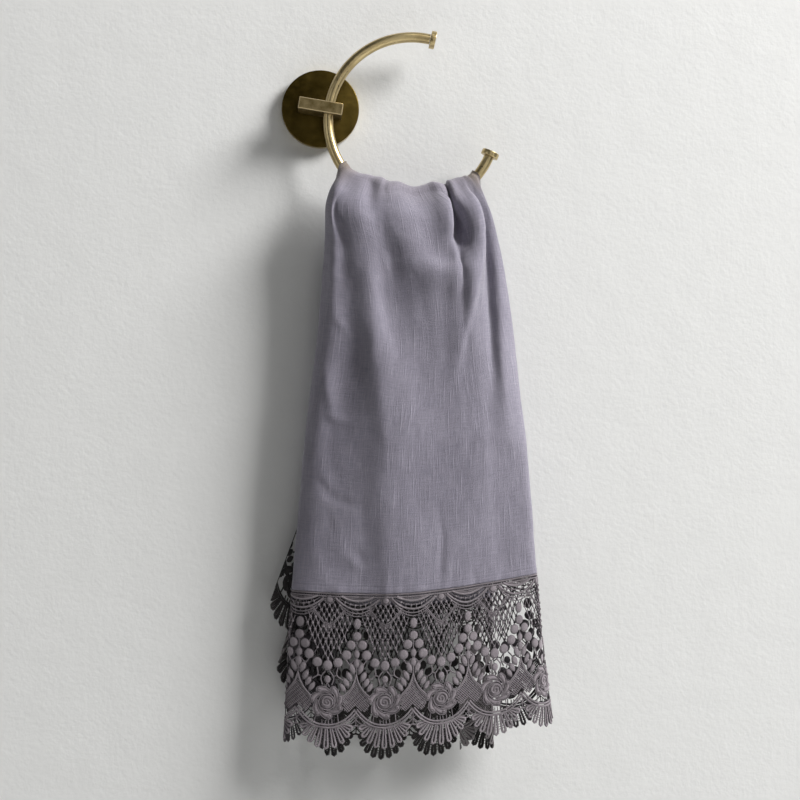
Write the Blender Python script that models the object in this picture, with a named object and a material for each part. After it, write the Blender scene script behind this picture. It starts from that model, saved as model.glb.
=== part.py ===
# A linen hand towel with a deep lace band at each end, hung over the lower arc of an
# open brass towel ring on a round wall rosette. Metres, +Z up, +X to the right, and the
# wall is the plane Y = 0, so everything stands in front of it at negative Y. The origin
# is the centre of the rosette's flat back.

import math
from collections import namedtuple

import bmesh
import bpy
from mathutils import Matrix, Vector
from mathutils.geometry import delaunay_2d_cdt

MM = 0.001
TOUCH_GAP = 0.3                  # air left between pieces that rest on each other
SEAM_GAP = 0.8                  # between the linen and the lace, which bend together

# Rosette, clamp bar, ring and its end caps, in millimetres.
ROSETTE_DIAMETER = 61.0
ROSETTE_THICKNESS = 8.0
ROSETTE_EDGE = 0.7
ROSETTE_SIDES = 48
BAR_LENGTH = 34.5
BAR_HEIGHT = 8.9
BAR_FRONT_Y = -33.0
BAR_CENTRE_Z = -2.0
BAR_TILT = 9.0                   # degrees, left end up
BAR_EDGE = 0.4
BORE_START = 155.0               # degrees round the ring, either side of the bar
BORE_END = 195.0
BORE_STEPS = 14
RING_CENTRE_X = 71.7
RING_CENTRE_Z = -12.4
RING_Y = -25.0
RING_RADIUS = 65.8               # to the middle of the rod
ROD_RADIUS = 4.0
RING_START = 78.0                # degrees from +X, upper free end
RING_END = 335.6                 # lower free end
RING_STEPS = 52
ROD_SIDES = 10
CAP_DIAMETER = 14.0
CAP_LENGTH = 4.1
CAP_EDGE = 0.4
CAP_SIDES = 24
HARD_EDGE = 30.0                 # degrees, past which an edge of the brass stays sharp
ROD_EDGE = 40.0
CLOTH_EDGE = 60.0

# Towel.
TOWEL_WIDTH = 320.5
LINEN_DROP = 316.0               # ridge to seam, measured down the middle
LACE_DEPTH = 120.0
LINEN_THICKNESS = 1.2
LACE_THICKNESS = 1.2
ARCH_LENGTH = 9.0                # cloth that bends over the rod, on each side
ARCH_HEIGHT = 6.0
SPREAD_DROP = 27.0               # below this the cloth is no longer bunched
STATIONS = (27.0, 62.0, 117.0, 202.0, LINEN_DROP)
ARCH_ROWS = 3
NEAR_ROWS = (13.0, 19.0, 27.0, 36.0, 48.0)     # close rows where the gathers open out
PANEL_ROWS = 13                  # even rows from there to the seam
NORMAL_STEP = 0.5                # reach, each way, of the slope that gives a normal

# Each row is a fold line that runs down the cloth: its place across the flat towel, then
# (x, z, reach) where it crosses the ridge, (x, y) at four stations and (x, y, z) at the
# seam and at the tips of the lace. Reach is how far the cloth stands out from the ring's
# plane as it bends over the rod. Both side edges are turned in behind the front.
FrontFold = namedtuple("FrontFold", "across ridge shoulder neck waist skirt seam hem")
FRONT_FOLDS = (
    FrontFold(0, (19.6, -43.9, 5.4), (11.5, -24), (20, -29.5), (22, -28), (20, -27),
              (14, -27, -376), (11, -27, -495)),
    FrontFold(22, (20.4, -45.3, 5.4), (9, -28), (11, -29.3), (9, -27.5), (3, -26.5),
              (-6, -26.5, -376.2), (-10, -26.5, -495.5)),
    FrontFold(44.5, (21.5, -46.8, 6.2), (7.2, -32.2), (4, -30), (0.5, -29), (-9, -28.5),
              (-20.5, -28.5, -376.5), (-26.5, -29, -496)),
    FrontFold(54.5, (22.4, -48, 7.2), (6.4, -34.5), (2.6, -34), (-1.6, -34),
              (-11.6, -34), (-22.3, -34.5, -376.7), (-28.5, -35, -496.5)),
    FrontFold(68.5, (24.2, -50.2, 7.6), (9.6, -39.5), (9, -42), (8, -44), (-3, -43),
              (-10.5, -41.5, -377.2), (-15, -42, -497.3)),
    FrontFold(86.5, (30.5, -53.2), (14, -37), (18.5, -39.5), (25.5, -41), (14, -44.5),
              (7, -44.5, -377.8), (3.7, -44.5, -498)),
    FrontFold(108.5, (40, -54.6), (31, -44), (37, -47), (43, -48), (35, -47),
              (28.5, -44, -378.2), (26, -44, -498)),
    FrontFold(131, (50.5, -62.3), (48, -41.5), (54, -46.5), (60, -48.5), (54, -47.5),
              (50, -43.5, -378), (48.3, -44.5, -497)),
    FrontFold(152.5, (61, -61), (64, -45), (70, -48.5), (76, -49.5), (73, -48),
              (70.5, -45, -377), (69.5, -46, -495.5)),
    FrontFold(175.5, (74, -63.6), (81, -46.5), (88, -50), (92, -51), (93, -49),
              (92, -46, -374.7), (92, -45.5, -493.5)),
    FrontFold(190.5, (86, -60.8), (98, -47.5), (102, -50), (103, -51.5), (106, -49.5),
              (106, -46, -373), (106.5, -44.5, -491.5)),
    FrontFold(202.5, (92, -62.5), (102, -34.5), (108, -44.5), (110, -50.5), (115.5, -49),
              (116.5, -45.5, -371.5), (118, -43.5, -490)),
    FrontFold(214.5, (101, -59.5), (113, -46.5), (118, -50), (116.5, -50.5),
              (124.5, -48), (127, -44.5, -370), (129.5, -43.5, -488.3)),
    FrontFold(224.5, (106, -56.5), (122, -45.5), (125, -46.5), (122, -47.5), (132, -46),
              (136, -43, -368.7), (139, -43.5, -487)),
    FrontFold(232.5, (109, -56.2), (118, -38.5), (123.5, -40.5), (127.5, -44),
              (137.5, -44.5), (143, -41.5, -367.7), (146.5, -43.5, -486)),
    FrontFold(246.5, (112.4, -54.8), (124, -38), (130.5, -39), (134, -41.5),
              (147, -41.5), (154.5, -38.5, -365.8), (159.5, -42, -483.5)),
    FrontFold(264.5, (114.5, -55.1, 8), (128.6, -36.8), (138.2, -34.5), (147, -34.5),
              (157, -35.5), (166.2, -33, -364), (174, -38, -481.5)),
    FrontFold(275.5, (116.2, -53.8, 7.6), (128.7, -34.8), (137, -30.5), (145.5, -29.5),
              (156, -29), (166.5, -27, -364), (179.5, -31.5, -481)),
    FrontFold(296.5, (117.6, -52.2, 5.8), (127.3, -30), (130, -28.7), (134, -27),
              (141, -25.5), (149, -23, -366), (164, -24.5, -483.5)),
    FrontFold(320.5, (119, -50.6, 5.4), (124.8, -25.5), (118, -28), (118, -26),
              (121, -24.5), (127, -22.5, -369), (141.5, -21.5, -487)),
)

# The back of the towel crosses the same ridge. Its left corner is pulled up and hangs in
# zigzag steps, and its right edge is turned in behind the front.
BackFold = namedtuple("BackFold", "across shoulder neck waist skirt seam hem")
BACK_FOLDS = (
    BackFold(0, (15, -16.5), (12, -15), (9, -14.5), (3, -15),
             (-6, -16, -287), (-42, -18, -394)),
    BackFold(16, (18, -16), (17, -14), (14, -14), (9, -15.5),
             (3, -17, -293), (-31.5, -20, -406)),
    BackFold(38, (25, -16.5), (24, -15), (21, -14.5), (17, -15),
             (12, -17, -303), (-12, -20, -418)),
    BackFold(50, (29, -15.5), (28, -13.5), (25, -13), (20.5, -13),
             (16, -14, -309), (-4, -15, -424)),
    BackFold(62, (33, -14.5), (32, -12), (27.5, -11), (19.5, -10.5),
             (11, -12, -316), (-12, -12.5, -431)),
    BackFold(84, (40, -15.5), (38, -13.5), (30, -9.5), (15, -9),
             (-1, -11, -327), (-31, -11.5, -441)),
    BackFold(90, (42, -16), (40, -14), (32, -9), (14.5, -7),
             (-4, -7.5, -330), (-35, -7.5, -446)),
    BackFold(98, (45, -15.5), (42.5, -13.5), (35, -9), (17.5, -5.5),
             (0, -4, -336), (-31, -4, -453)),
    BackFold(120, (52, -14), (49, -11.5), (43, -11), (28, -8),
             (10, -5.4, -358), (-14, -5, -478)),
    BackFold(149.5, (60, -15.5), (56.5, -14), (51, -12), (38, -12.5),
             (21, -13, -389), (5, -12, -509)),
    BackFold(172, (67, -14), (66, -12.5), (61, -14), (52, -14.5),
             (39, -15, -391), (26, -15.5, -510)),
    BackFold(194, (75, -15.5), (74.5, -14), (72, -11.5), (66, -12),
             (57, -12, -392), (47.5, -12.5, -512.5)),
    BackFold(216, (83, -14), (84.5, -12.5), (84, -15), (81, -14),
             (76, -11.5, -392), (68.5, -11, -512)),
    BackFold(238.5, (92, -15.5), (94.5, -13.5), (95, -11.5), (94, -11.5),
             (94, -12.5, -390), (89, -12, -510)),
    BackFold(252, (101, -14.5), (104, -13), (105, -14.5), (106, -14),
             (105, -13.5, -388.5), (102, -13, -509)),
    BackFold(264.5, (107, -15.5), (111, -13.5), (114, -12.5), (116.5, -12),
             (117.5, -12, -387.5), (115, -11.5, -507.5)),
    BackFold(275.5, (112, -16), (117, -14), (121, -12), (125, -11),
             (127, -10.5, -386.7), (125.5, -10, -506.5)),
    BackFold(286, (116.5, -17), (122, -15.3), (126.5, -13), (131, -12),
             (134, -11.5, -386), (134, -11, -505.5)),
    BackFold(291, (118, -17.8), (122.2, -16.6), (126, -15.6), (131, -14.8),
             (135, -14.4, -386), (135.7, -14, -505.3)),
    BackFold(296.5, (118.8, -18.6), (121, -18.2), (122.5, -17.8), (127, -17.4),
             (131, -17.2, -386), (132.5, -17, -505.2)),
    BackFold(320.5, (119.6, -19.6), (114, -19.3), (105, -18.8), (104, -18.6),
             (107, -18.2, -387), (109, -18, -506)),
)
MAIN_REACH = 8.0                 # where a row gives no reach
COLUMN_SPACING = 4.0             # fold lines closer than this share a column

# Lace motif: one repeat is centred on a swirl. Gaps lie in mirrored pairs beside it.
REPEAT_WIDTH = 44.5
FRONT_FIRST_SWIRL = 42.0         # across the towel, from its left edge
BACK_FIRST_SWIRL = 16.0
GAP_SIDES = 6
END_MARGIN = 2.0                 # lace left whole beside the cut ends
SIDE_DEPTHS = (20.0, 40.0, 60.0, 80.0, 98.0)   # points down the two cut ends
END_SLIVER = 1.3                 # fan points this close to a cut end are dropped
GAP_SPARE = 0.8                  # least lace between a gap and a point that bends
MERGE_LIMIT = 0.001              # outline points closer than this count as one
BEND_DEPTHS = (6.0, 13.0, 20.0, 27.0, 33.0, 39.0, 61.0, 84.0)   # rows of points that let the lace bend
Gap = namedtuple("Gap", "name beside depth width height turn")
LACE_GAPS = (
    Gap("net_foot", 3.4, 49.5, 4.4, 4.6, 0),
    Gap("net_side", 9.3, 45.8, 4.1, 6.2, -15),
    Gap("garland_leaf", 13.7, 56.0, 4.9, 8.2, 8),
    Gap("leaf_upper", 11.6, 64.3, 4.4, 5.2, 30),
    Gap("leaf_lower", 7.4, 69.4, 4.6, 5.4, 10),
    Gap("swirl_side", 12.1, 94.0, 5.6, 5.4, 30),
    Gap("swirl_foot", 4.9, 97.6, 4.6, 4.2, 0),
    Gap("cusp", 17.2, 100.6, 7.0, 4.2, -28),
)
FAN_HUB_DEPTH = 100.0
FAN_RADIUS = 20.0
FAN_NOTCH_RADIUS = 16.6
FAN_FINGERS = 9
FINGER_STEP = 19.5               # degrees between fingers
FINGER_HALF_TIP = 5.4            # degrees, half the width of a fingertip
FAN_JOINT_DEPTH = 103.2          # where neighbouring fans meet


def clear_scene():
    for obj in list(bpy.data.objects):
        bpy.data.objects.remove(obj, do_unlink=True)


def make_material(name, colour, roughness, metallic):
    material = bpy.data.materials.new(name)
    material.use_nodes = True
    shader = material.node_tree.nodes["Principled BSDF"]
    shader.inputs["Base Color"].default_value = (*colour, 1.0)
    shader.inputs["Roughness"].default_value = roughness
    shader.inputs["Metallic"].default_value = metallic
    return material


def add_object(name, bm, material=None, smooth_angle=None):
    mesh = bpy.data.meshes.new(name)
    bm.to_mesh(mesh)
    bm.free()
    if smooth_angle is not None:
        mesh.shade_smooth()
        mesh.set_sharp_from_angle(angle=math.radians(smooth_angle))
    obj = bpy.data.objects.new(name, mesh)
    if material is not None:
        mesh.materials.append(material)
    bpy.context.collection.objects.link(obj)
    return obj


def turned_disc(radius, length, edge, sides):
    # A disc along Z from 0 to length, with a small chamfer round both rims.
    bm = bmesh.new()
    bmesh.ops.create_cone(bm, cap_ends=True, segments=sides, radius1=radius,
                          radius2=radius, depth=length,
                          matrix=Matrix.Translation((0, 0, length / 2)))
    rims = [e for e in bm.edges if abs(e.verts[0].co.z - e.verts[1].co.z) < length / 2]
    bmesh.ops.bevel(bm, geom=rims, offset=edge, segments=1, profile=0.5,
                    affect="EDGES", material=-1)
    return bm


def ring_centreline(angle):
    turn = math.radians(angle)
    return Vector((RING_CENTRE_X + RING_RADIUS * math.cos(turn), RING_Y,
                   RING_CENTRE_Z + RING_RADIUS * math.sin(turn)))


def ring_tangent(angle):
    turn = math.radians(angle)
    return Vector((-math.sin(turn), 0.0, math.cos(turn)))


def bent_rod(start, end, steps, radius):
    # A round rod along the ring's centreline between two angles, with flat ends.
    bm = bmesh.new()
    profile = []
    middle = ring_centreline(start)
    outward = (middle - Vector((RING_CENTRE_X, RING_Y, RING_CENTRE_Z))).normalized()
    for side in range(ROD_SIDES):
        turn = 2 * math.pi * side / ROD_SIDES
        place = middle + radius * (outward * math.cos(turn)
                                   + Vector((0, 1, 0)) * math.sin(turn))
        profile.append(bm.verts.new(place * MM))
    first_cap = bm.faces.new(profile)
    bmesh.ops.spin(bm, geom=[first_cap],
                   cent=Vector((RING_CENTRE_X, RING_Y, RING_CENTRE_Z)) * MM,
                   axis=(0, -1, 0), angle=math.radians(end - start),
                   steps=steps, use_merge=False)
    bmesh.ops.recalc_face_normals(bm, faces=bm.faces)
    return bm


def make_rosette(brass):
    bm = turned_disc(ROSETTE_DIAMETER / 2 * MM, ROSETTE_THICKNESS * MM,
                     ROSETTE_EDGE * MM, ROSETTE_SIDES)
    rosette = add_object("rosette", bm, brass, HARD_EDGE)
    rosette.rotation_euler = (math.pi / 2, 0, 0)
    return rosette


def make_clamp_bar(brass):
    back_y = -(ROSETTE_THICKNESS + TOUCH_GAP)
    depth = back_y - BAR_FRONT_Y
    bm = bmesh.new()
    bmesh.ops.create_cube(bm, size=1.0)
    bmesh.ops.scale(bm, verts=bm.verts,
                    vec=Vector((BAR_LENGTH, depth, BAR_HEIGHT)) * MM)
    bmesh.ops.bevel(bm, geom=list(bm.edges), offset=BAR_EDGE * MM, segments=1,
                    profile=0.5, affect="EDGES", material=-1)
    bar = add_object("clamp_bar", bm, brass, HARD_EDGE)
    bar.location = (0, (back_y - depth / 2) * MM, BAR_CENTRE_Z * MM)
    bar.rotation_euler = (0, math.radians(BAR_TILT), 0)

    bore = add_object("rod_bore", bent_rod(BORE_START, BORE_END, BORE_STEPS,
                                           ROD_RADIUS + TOUCH_GAP))
    bore.display_type = "WIRE"
    bore.hide_render = True
    cut = bar.modifiers.new("rod_bore", "BOOLEAN")
    cut.operation = "DIFFERENCE"
    cut.solver = "EXACT"
    cut.object = bore
    return bar


def make_ring(brass):
    return add_object("ring_rod", bent_rod(RING_START, RING_END, RING_STEPS, ROD_RADIUS),
                      brass, ROD_EDGE)


def make_end_cap(name, angle, beyond, brass):
    # Beyond is +1 where the cap follows the rod's end and -1 where it comes before it.
    bm = turned_disc(CAP_DIAMETER / 2 * MM, CAP_LENGTH * MM, CAP_EDGE * MM, CAP_SIDES)
    cap = add_object(name, bm, brass, HARD_EDGE)
    outward = ring_tangent(angle) * beyond
    cap.rotation_mode = "QUATERNION"
    cap.rotation_quaternion = outward.to_track_quat("Z", "Y")
    cap.location = (ring_centreline(angle) + outward * TOUCH_GAP) * MM
    return cap


def through_rows(knots, values, at):
    # A smooth curve through a table's values, with slopes taken from the rows beside.
    last = len(knots) - 1
    i = 0
    while i < last - 1 and at > knots[i + 1]:
        i += 1

    def slope(k):
        if k == 0:
            return (values[1] - values[0]) / (knots[1] - knots[0])
        if k == last:
            return (values[last] - values[last - 1]) / (knots[last] - knots[last - 1])
        before = knots[k] - knots[k - 1]
        after = knots[k + 1] - knots[k]
        rise_before = (values[k] - values[k - 1]) / before
        rise_after = (values[k + 1] - values[k]) / after
        return (rise_before * after + rise_after * before) / (before + after)

    step = knots[i + 1] - knots[i]
    t = (at - knots[i]) / step
    return (values[i] * (1 + 2 * t) * (1 - t) ** 2
            + values[i + 1] * t * t * (3 - 2 * t)
            + slope(i) * step * t * (1 - t) ** 2
            + slope(i + 1) * step * t * t * (t - 1))


def across_value(folds, column, part, across):
    return through_rows([f.across for f in folds],
                        [getattr(f, column)[part] for f in folds], across)


def ridge_values(across):
    knots = [f.across for f in FRONT_FOLDS]
    rows = [f.ridge if len(f.ridge) == 3 else (*f.ridge, MAIN_REACH) for f in FRONT_FOLDS]
    return [through_rows(knots, [row[k] for row in rows], across) for k in range(3)]


def cloth_point(folds, side, across, drop):
    # A point of the cloth's middle surface; side is -1 in front of the ring, +1 behind.
    # Drop is measured down the cloth from the ridge, and past the seam it is lace.
    # Over the rod it turns outwards from the ring's centre, square to the rod.
    ridge_x, ridge_z, reach = ridge_values(across)
    outward = Vector((ridge_x - RING_CENTRE_X, ridge_z - RING_CENTRE_Z)).normalized()
    turn = min(drop / ARCH_LENGTH, 1.0) * math.pi / 2
    arch_x = ridge_x + outward.x * ARCH_HEIGHT * (1 - math.cos(turn))
    arch_z = ridge_z + outward.y * ARCH_HEIGHT * (1 - math.cos(turn))
    arch_y = RING_Y + side * reach * math.sin(turn)
    if drop <= ARCH_LENGTH:
        return Vector((arch_x, arch_y, arch_z))
    knots = (ARCH_LENGTH,) + STATIONS + (LINEN_DROP + LACE_DEPTH,)
    columns = ("shoulder", "neck", "waist", "skirt", "seam", "hem")
    side_x = [across_value(folds, c, 0, across) for c in columns]
    side_y = [across_value(folds, c, 1, across) for c in columns]
    seam_z = across_value(folds, "seam", 2, across)
    hem_z = across_value(folds, "hem", 2, across)
    if drop < LINEN_DROP:
        z = arch_z + (seam_z - arch_z) * (drop - ARCH_LENGTH) / (LINEN_DROP - ARCH_LENGTH)
    else:
        z = seam_z + (hem_z - seam_z) * (drop - LINEN_DROP) / LACE_DEPTH
    return Vector((through_rows(knots, [arch_x] + side_x, drop),
                   through_rows(knots, [arch_y] + side_y, drop), z))


def columns_across():
    # Every fold line of either side of the towel is a column of the mesh.
    places = []
    for across in sorted(f.across for f in FRONT_FOLDS + BACK_FOLDS):
        if not places or across - places[-1] >= COLUMN_SPACING:
            places.append(across)
    return places


def rows_down():
    # Close together over the rod, further apart down the panel.
    places = [ARCH_LENGTH * k / ARCH_ROWS for k in range(ARCH_ROWS + 1)]
    places += NEAR_ROWS
    panel = LINEN_DROP - NEAR_ROWS[-1]
    places += [NEAR_ROWS[-1] + panel * k / PANEL_ROWS for k in range(1, PANEL_ROWS + 1)]
    return places


def arch_normal(across, side, turn):
    # Square to the bend over the rod: inwards at the ridge, level where the bend ends.
    ridge_x, ridge_z, reach = ridge_values(across)
    inward = Vector((RING_CENTRE_X - ridge_x, 0, RING_CENTRE_Z - ridge_z)).normalized()
    return (inward * reach * math.cos(turn)
            + Vector((0, side, 0)) * ARCH_HEIGHT * math.sin(turn)).normalized()


def cloth_normal(folds, side, across, drop):
    # Out of the cloth's outer face: towards the room in front, towards the wall behind.
    # Where the cloth is bunched on the rod it follows the bend, not each small gather.
    turn = min(drop / ARCH_LENGTH, 1.0) * math.pi / 2
    bunched = arch_normal(across, side, turn)
    if drop <= ARCH_LENGTH:
        return bunched
    along = (cloth_point(folds, side, min(across + NORMAL_STEP, TOWEL_WIDTH), drop)
             - cloth_point(folds, side, max(across - NORMAL_STEP, 0.0), drop))
    down = (cloth_point(folds, side, across, drop + NORMAL_STEP)
            - cloth_point(folds, side, across, drop - NORMAL_STEP))
    loose = along.cross(down).normalized() * side
    spread = min((drop - ARCH_LENGTH) / (SPREAD_DROP - ARCH_LENGTH), 1.0)
    return bunched.lerp(loose, spread * spread * (3 - 2 * spread)).normalized()


def make_cloth(name, places, faces, thickness, material):
    # Places are (folds, side, across, drop); faces wind the same way as the outer face.
    # The two faces lie half the thickness each way from the middle surface, and a rim
    # joins them wherever an edge has a face on one side alone.
    bm = bmesh.new()
    outer = []
    inner = []
    for folds, side, across, drop in places:
        middle = cloth_point(folds, side, across, drop)
        offset = cloth_normal(folds, side, across, drop) * thickness / 2
        outer.append(bm.verts.new((middle + offset) * MM))
        inner.append(bm.verts.new((middle - offset) * MM))
    directed = set()
    for face in faces:
        bm.faces.new([outer[k] for k in face])
        bm.faces.new([inner[k] for k in reversed(face)])
        directed.update(zip(face, face[1:] + face[:1]))
    for start, end in sorted(directed):
        if (end, start) not in directed:
            bm.faces.new((outer[end], outer[start], inner[start], inner[end]))
    unused = [v for v in bm.verts if not v.link_faces]
    bmesh.ops.delete(bm, geom=unused, context="VERTS")
    return add_object(name, bm, material, CLOTH_EDGE)


def make_linen(linen):
    down = rows_down()
    across = columns_across()
    strips = [(BACK_FOLDS, 1, d) for d in reversed(down[1:])]
    strips += [(FRONT_FOLDS, -1, d) for d in down]
    places = [(folds, side, a, d) for folds, side, d in strips for a in across]
    width = len(across)
    faces = []
    for row in range(len(strips) - 1):
        for k in range(row * width, row * width + width - 1):
            faces.append((k, k + width, k + width + 1))
            faces.append((k, k + width + 1, k + 1))
    return make_cloth("linen_towel", places, faces, LINEN_THICKNESS, linen)


def gap_loop(gap, side, centre):
    points = []
    turn = math.radians(gap.turn) * side
    for k in range(GAP_SIDES):
        angle = 2 * math.pi * k / GAP_SIDES
        u = gap.width / 2 * math.cos(angle)
        v = gap.height / 2 * math.sin(angle)
        points.append((centre + side * gap.beside + u * math.cos(turn) - v * math.sin(turn),
                       gap.depth + u * math.sin(turn) + v * math.cos(turn)))
    return points


def fan_outline(centre):
    # Lower edge of one fan, from left to right: two points at each tip, one at each notch.
    points = [(centre - REPEAT_WIDTH / 2, FAN_JOINT_DEPTH)]
    half = FAN_FINGERS // 2
    for finger in range(-half, half + 1):
        stops = [(finger * FINGER_STEP - FINGER_HALF_TIP, FAN_RADIUS),
                 (finger * FINGER_STEP + FINGER_HALF_TIP, FAN_RADIUS)]
        if finger < half:
            stops.append(((finger + 0.5) * FINGER_STEP, FAN_NOTCH_RADIUS))
        for angle, radius in stops:
            turn = math.radians(angle)
            points.append((centre + radius * math.sin(turn),
                           FAN_HUB_DEPTH + radius * math.cos(turn)))
    return points


def is_inside(loop, point):
    # True where a line to the right of the point crosses the loop an odd number of times.
    inside = False
    for (a0, d0), (a1, d1) in zip(loop, loop[1:] + loop[:1]):
        if (d0 > point.y) != (d1 > point.y):
            crossing = a0 + (a1 - a0) * (point.y - d0) / (d1 - d0)
            if crossing > point.x:
                inside = not inside
    return inside


def beside_gap(loop, across, depth):
    # True where a point is clear of a gap, with a little lace to spare.
    low_a = min(p[0] for p in loop) - GAP_SPARE
    high_a = max(p[0] for p in loop) + GAP_SPARE
    low_d = min(p[1] for p in loop) - GAP_SPARE
    high_d = max(p[1] for p in loop) + GAP_SPARE
    return not (low_a < across < high_a and low_d < depth < high_d)


def lace_flat(first_swirl):
    # The flat band: one outline, its gaps, and a few points inside so that it can bend.
    repeats = math.ceil(TOWEL_WIDTH / REPEAT_WIDTH)
    centres = [first_swirl + REPEAT_WIDTH * k for k in range(-1, repeats)]
    low = []
    for centre in centres:
        low += fan_outline(centre)
    low = [p for p in low if END_SLIVER < p[0] < TOWEL_WIDTH - END_SLIVER]
    top = [(a, SEAM_GAP) for a in reversed(columns_across())]
    left = [(0.0, d) for d in SIDE_DEPTHS]
    right = [(TOWEL_WIDTH, d) for d in reversed(SIDE_DEPTHS)]
    loops = [left + low + right + top]
    for centre in centres:
        for gap in LACE_GAPS:
            for side in (-1, 1):
                loop = gap_loop(gap, side, centre)
                if (min(p[0] for p in loop) > END_MARGIN
                        and max(p[0] for p in loop) < TOWEL_WIDTH - END_MARGIN):
                    loops.append(loop)
    points = []
    edges = []
    for loop in loops:
        start = len(points)
        points += [Vector(p) for p in loop]
        edges += [(start + k, start + (k + 1) % len(loop)) for k in range(len(loop))]
    for depth in BEND_DEPTHS:
        for across in columns_across()[1:-1]:
            if all(beside_gap(loop, across, depth) for loop in loops[1:]):
                points.append(Vector((across, depth)))
    verts, _, triangles, _, _, _ = delaunay_2d_cdt(points, edges, [], 0, MERGE_LIMIT, False)
    kept = []
    for triangle in triangles:
        middle = sum((verts[k] for k in triangle), Vector((0, 0))) / 3
        if is_inside(loops[0], middle) and not any(is_inside(g, middle) for g in loops[1:]):
            kept.append(triangle)
    return verts, kept


def make_lace(name, folds, side, first_swirl, cotton):
    points, triangles = lace_flat(first_swirl)
    places = [(folds, side, p.x, LINEN_DROP + p.y) for p in points]
    faces = [tuple(t) if side > 0 else tuple(reversed(t)) for t in triangles]
    return make_cloth(name, places, faces, LACE_THICKNESS, cotton)


def main():
    clear_scene()
    dark_brass = make_material("aged_brass", (0.045, 0.030, 0.010), 0.45, 1.0)
    bar_brass = make_material("clamp_brass", (0.16, 0.12, 0.055), 0.42, 1.0)
    bright_brass = make_material("brushed_brass", (0.48, 0.38, 0.20), 0.3, 1.0)
    linen = make_material("lilac_grey_linen", (0.245, 0.225, 0.28), 0.92, 0.0)
    cotton = make_material("grey_lace", (0.215, 0.195, 0.21), 0.9, 0.0)
    make_rosette(dark_brass)
    make_clamp_bar(bar_brass)
    make_ring(bright_brass)
    make_end_cap("upper_cap", RING_START, -1, bright_brass)
    make_end_cap("lower_cap", RING_END, 1, bright_brass)
    make_linen(linen)
    make_lace("front_lace", FRONT_FOLDS, -1, FRONT_FIRST_SWIRL, cotton)
    make_lace("back_lace", BACK_FOLDS, 1, BACK_FIRST_SWIRL, cotton)


main()
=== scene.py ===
import math

import bmesh
import bpy
import numpy as np
from mathutils import Matrix, Vector


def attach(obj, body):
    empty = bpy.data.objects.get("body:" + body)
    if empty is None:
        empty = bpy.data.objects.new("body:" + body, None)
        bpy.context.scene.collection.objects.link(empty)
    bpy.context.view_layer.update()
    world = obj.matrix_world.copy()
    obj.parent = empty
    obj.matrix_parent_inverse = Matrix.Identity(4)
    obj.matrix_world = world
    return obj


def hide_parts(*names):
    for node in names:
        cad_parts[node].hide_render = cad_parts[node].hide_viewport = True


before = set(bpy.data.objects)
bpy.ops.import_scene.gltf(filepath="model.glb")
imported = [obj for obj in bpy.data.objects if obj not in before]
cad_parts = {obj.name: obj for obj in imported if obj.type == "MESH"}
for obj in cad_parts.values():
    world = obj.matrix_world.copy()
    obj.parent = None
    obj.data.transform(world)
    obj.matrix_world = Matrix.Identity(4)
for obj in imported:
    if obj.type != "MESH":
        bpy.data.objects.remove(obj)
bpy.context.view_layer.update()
mm = 0.001
print("frame loaded")


# camera and lights

shot = {
    "place": (-0.008, -1.300, -0.230),
    "turn": -3.14,            # degrees about the upright, towards the right
    "lens": 73.56,
}
lamps = [
    # name, place, aimed at, width, height, watts, colour
    ("keyWindow", (2.75, -1.43, 2.00), (0.06, 0.0, -0.22), 1.65, 1.4, 246.0, (1.0, 0.99, 0.975)),
    ("topStrip", (0.25, -0.9, 1.3), (0.07, 0.0, -0.1), 0.25, 0.9, 2.0, (1.0, 0.98, 0.95)),
]
# lights the wall side of the towel, through the wall, which lets shadow rays pass
backWindow = ("backWindow", (-1.25, 1.55, 0.85), (0.05, 0.0, -0.25), 1.3, 1.3, 15.0, (1.0, 0.99, 0.975))
# cards that only show as reflections in the brass
cards = [
    ("leftCard", (-1.30, -1.20, 0.05), (0.03, -0.02, -0.02), 1.1, 1.8, 5.0, (1.0, 0.99, 0.97)),
    ("frontCard", (0.30, -1.60, 0.15), (0.03, -0.02, -0.02), 0.45, 1.8, 2.4, (1.0, 0.99, 0.97)),
    ("rightCard", (1.10, -1.30, 0.10), (0.03, -0.02, -0.02), 0.35, 1.8, 2.6, (1.0, 0.99, 0.97)),
]


def makeCamera(values):
    data = bpy.data.cameras.new("photoCamera")
    data.lens = values["lens"]
    data.clip_start = 0.01
    camera = bpy.data.objects.new("photoCamera", data)
    camera.location = values["place"]
    camera.rotation_euler = (math.pi / 2, 0, math.radians(values["turn"]))
    bpy.context.collection.objects.link(camera)
    bpy.context.scene.camera = camera


def makeLamp(name, place, aim, width, height, watts, colour):
    data = bpy.data.lights.new(name, "AREA")
    data.shape = "RECTANGLE"
    data.size = width
    data.size_y = height
    data.energy = watts
    data.color = colour
    lamp = bpy.data.objects.new(name, data)
    lamp.location = place
    lamp.rotation_euler = (Vector(aim) - Vector(place)).to_track_quat("-Z", "Y").to_euler()
    bpy.context.collection.objects.link(lamp)
    return lamp


def makeWorld(colour, strength):
    world = bpy.data.worlds.new("studio")
    world.use_nodes = True
    back = world.node_tree.nodes["Background"]
    back.inputs["Color"].default_value = (*colour, 1)
    back.inputs["Strength"].default_value = strength
    bpy.context.scene.world = world


makeCamera(shot)
for lamp in lamps:
    makeLamp(*lamp)
makeLamp(*backWindow).visible_glossy = False
for card in cards:
    makeLamp(*card).visible_diffuse = False
makeWorld((0.93, 0.96, 1.0), 0.023)
bpy.context.scene.view_settings.view_transform = "Standard"
print("camera and lights set")


# shader helpers

def plug(tree, node, inputs):
    # inputs by name, or by number as i0, i1 and so on; a socket is linked
    for label, value in inputs.items():
        socket = node.inputs[int(label[1:]) if label[1:].isdigit() else label]
        if isinstance(value, bpy.types.NodeSocket):
            tree.links.new(value, socket)
        else:
            socket.default_value = value
    return node


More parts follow.
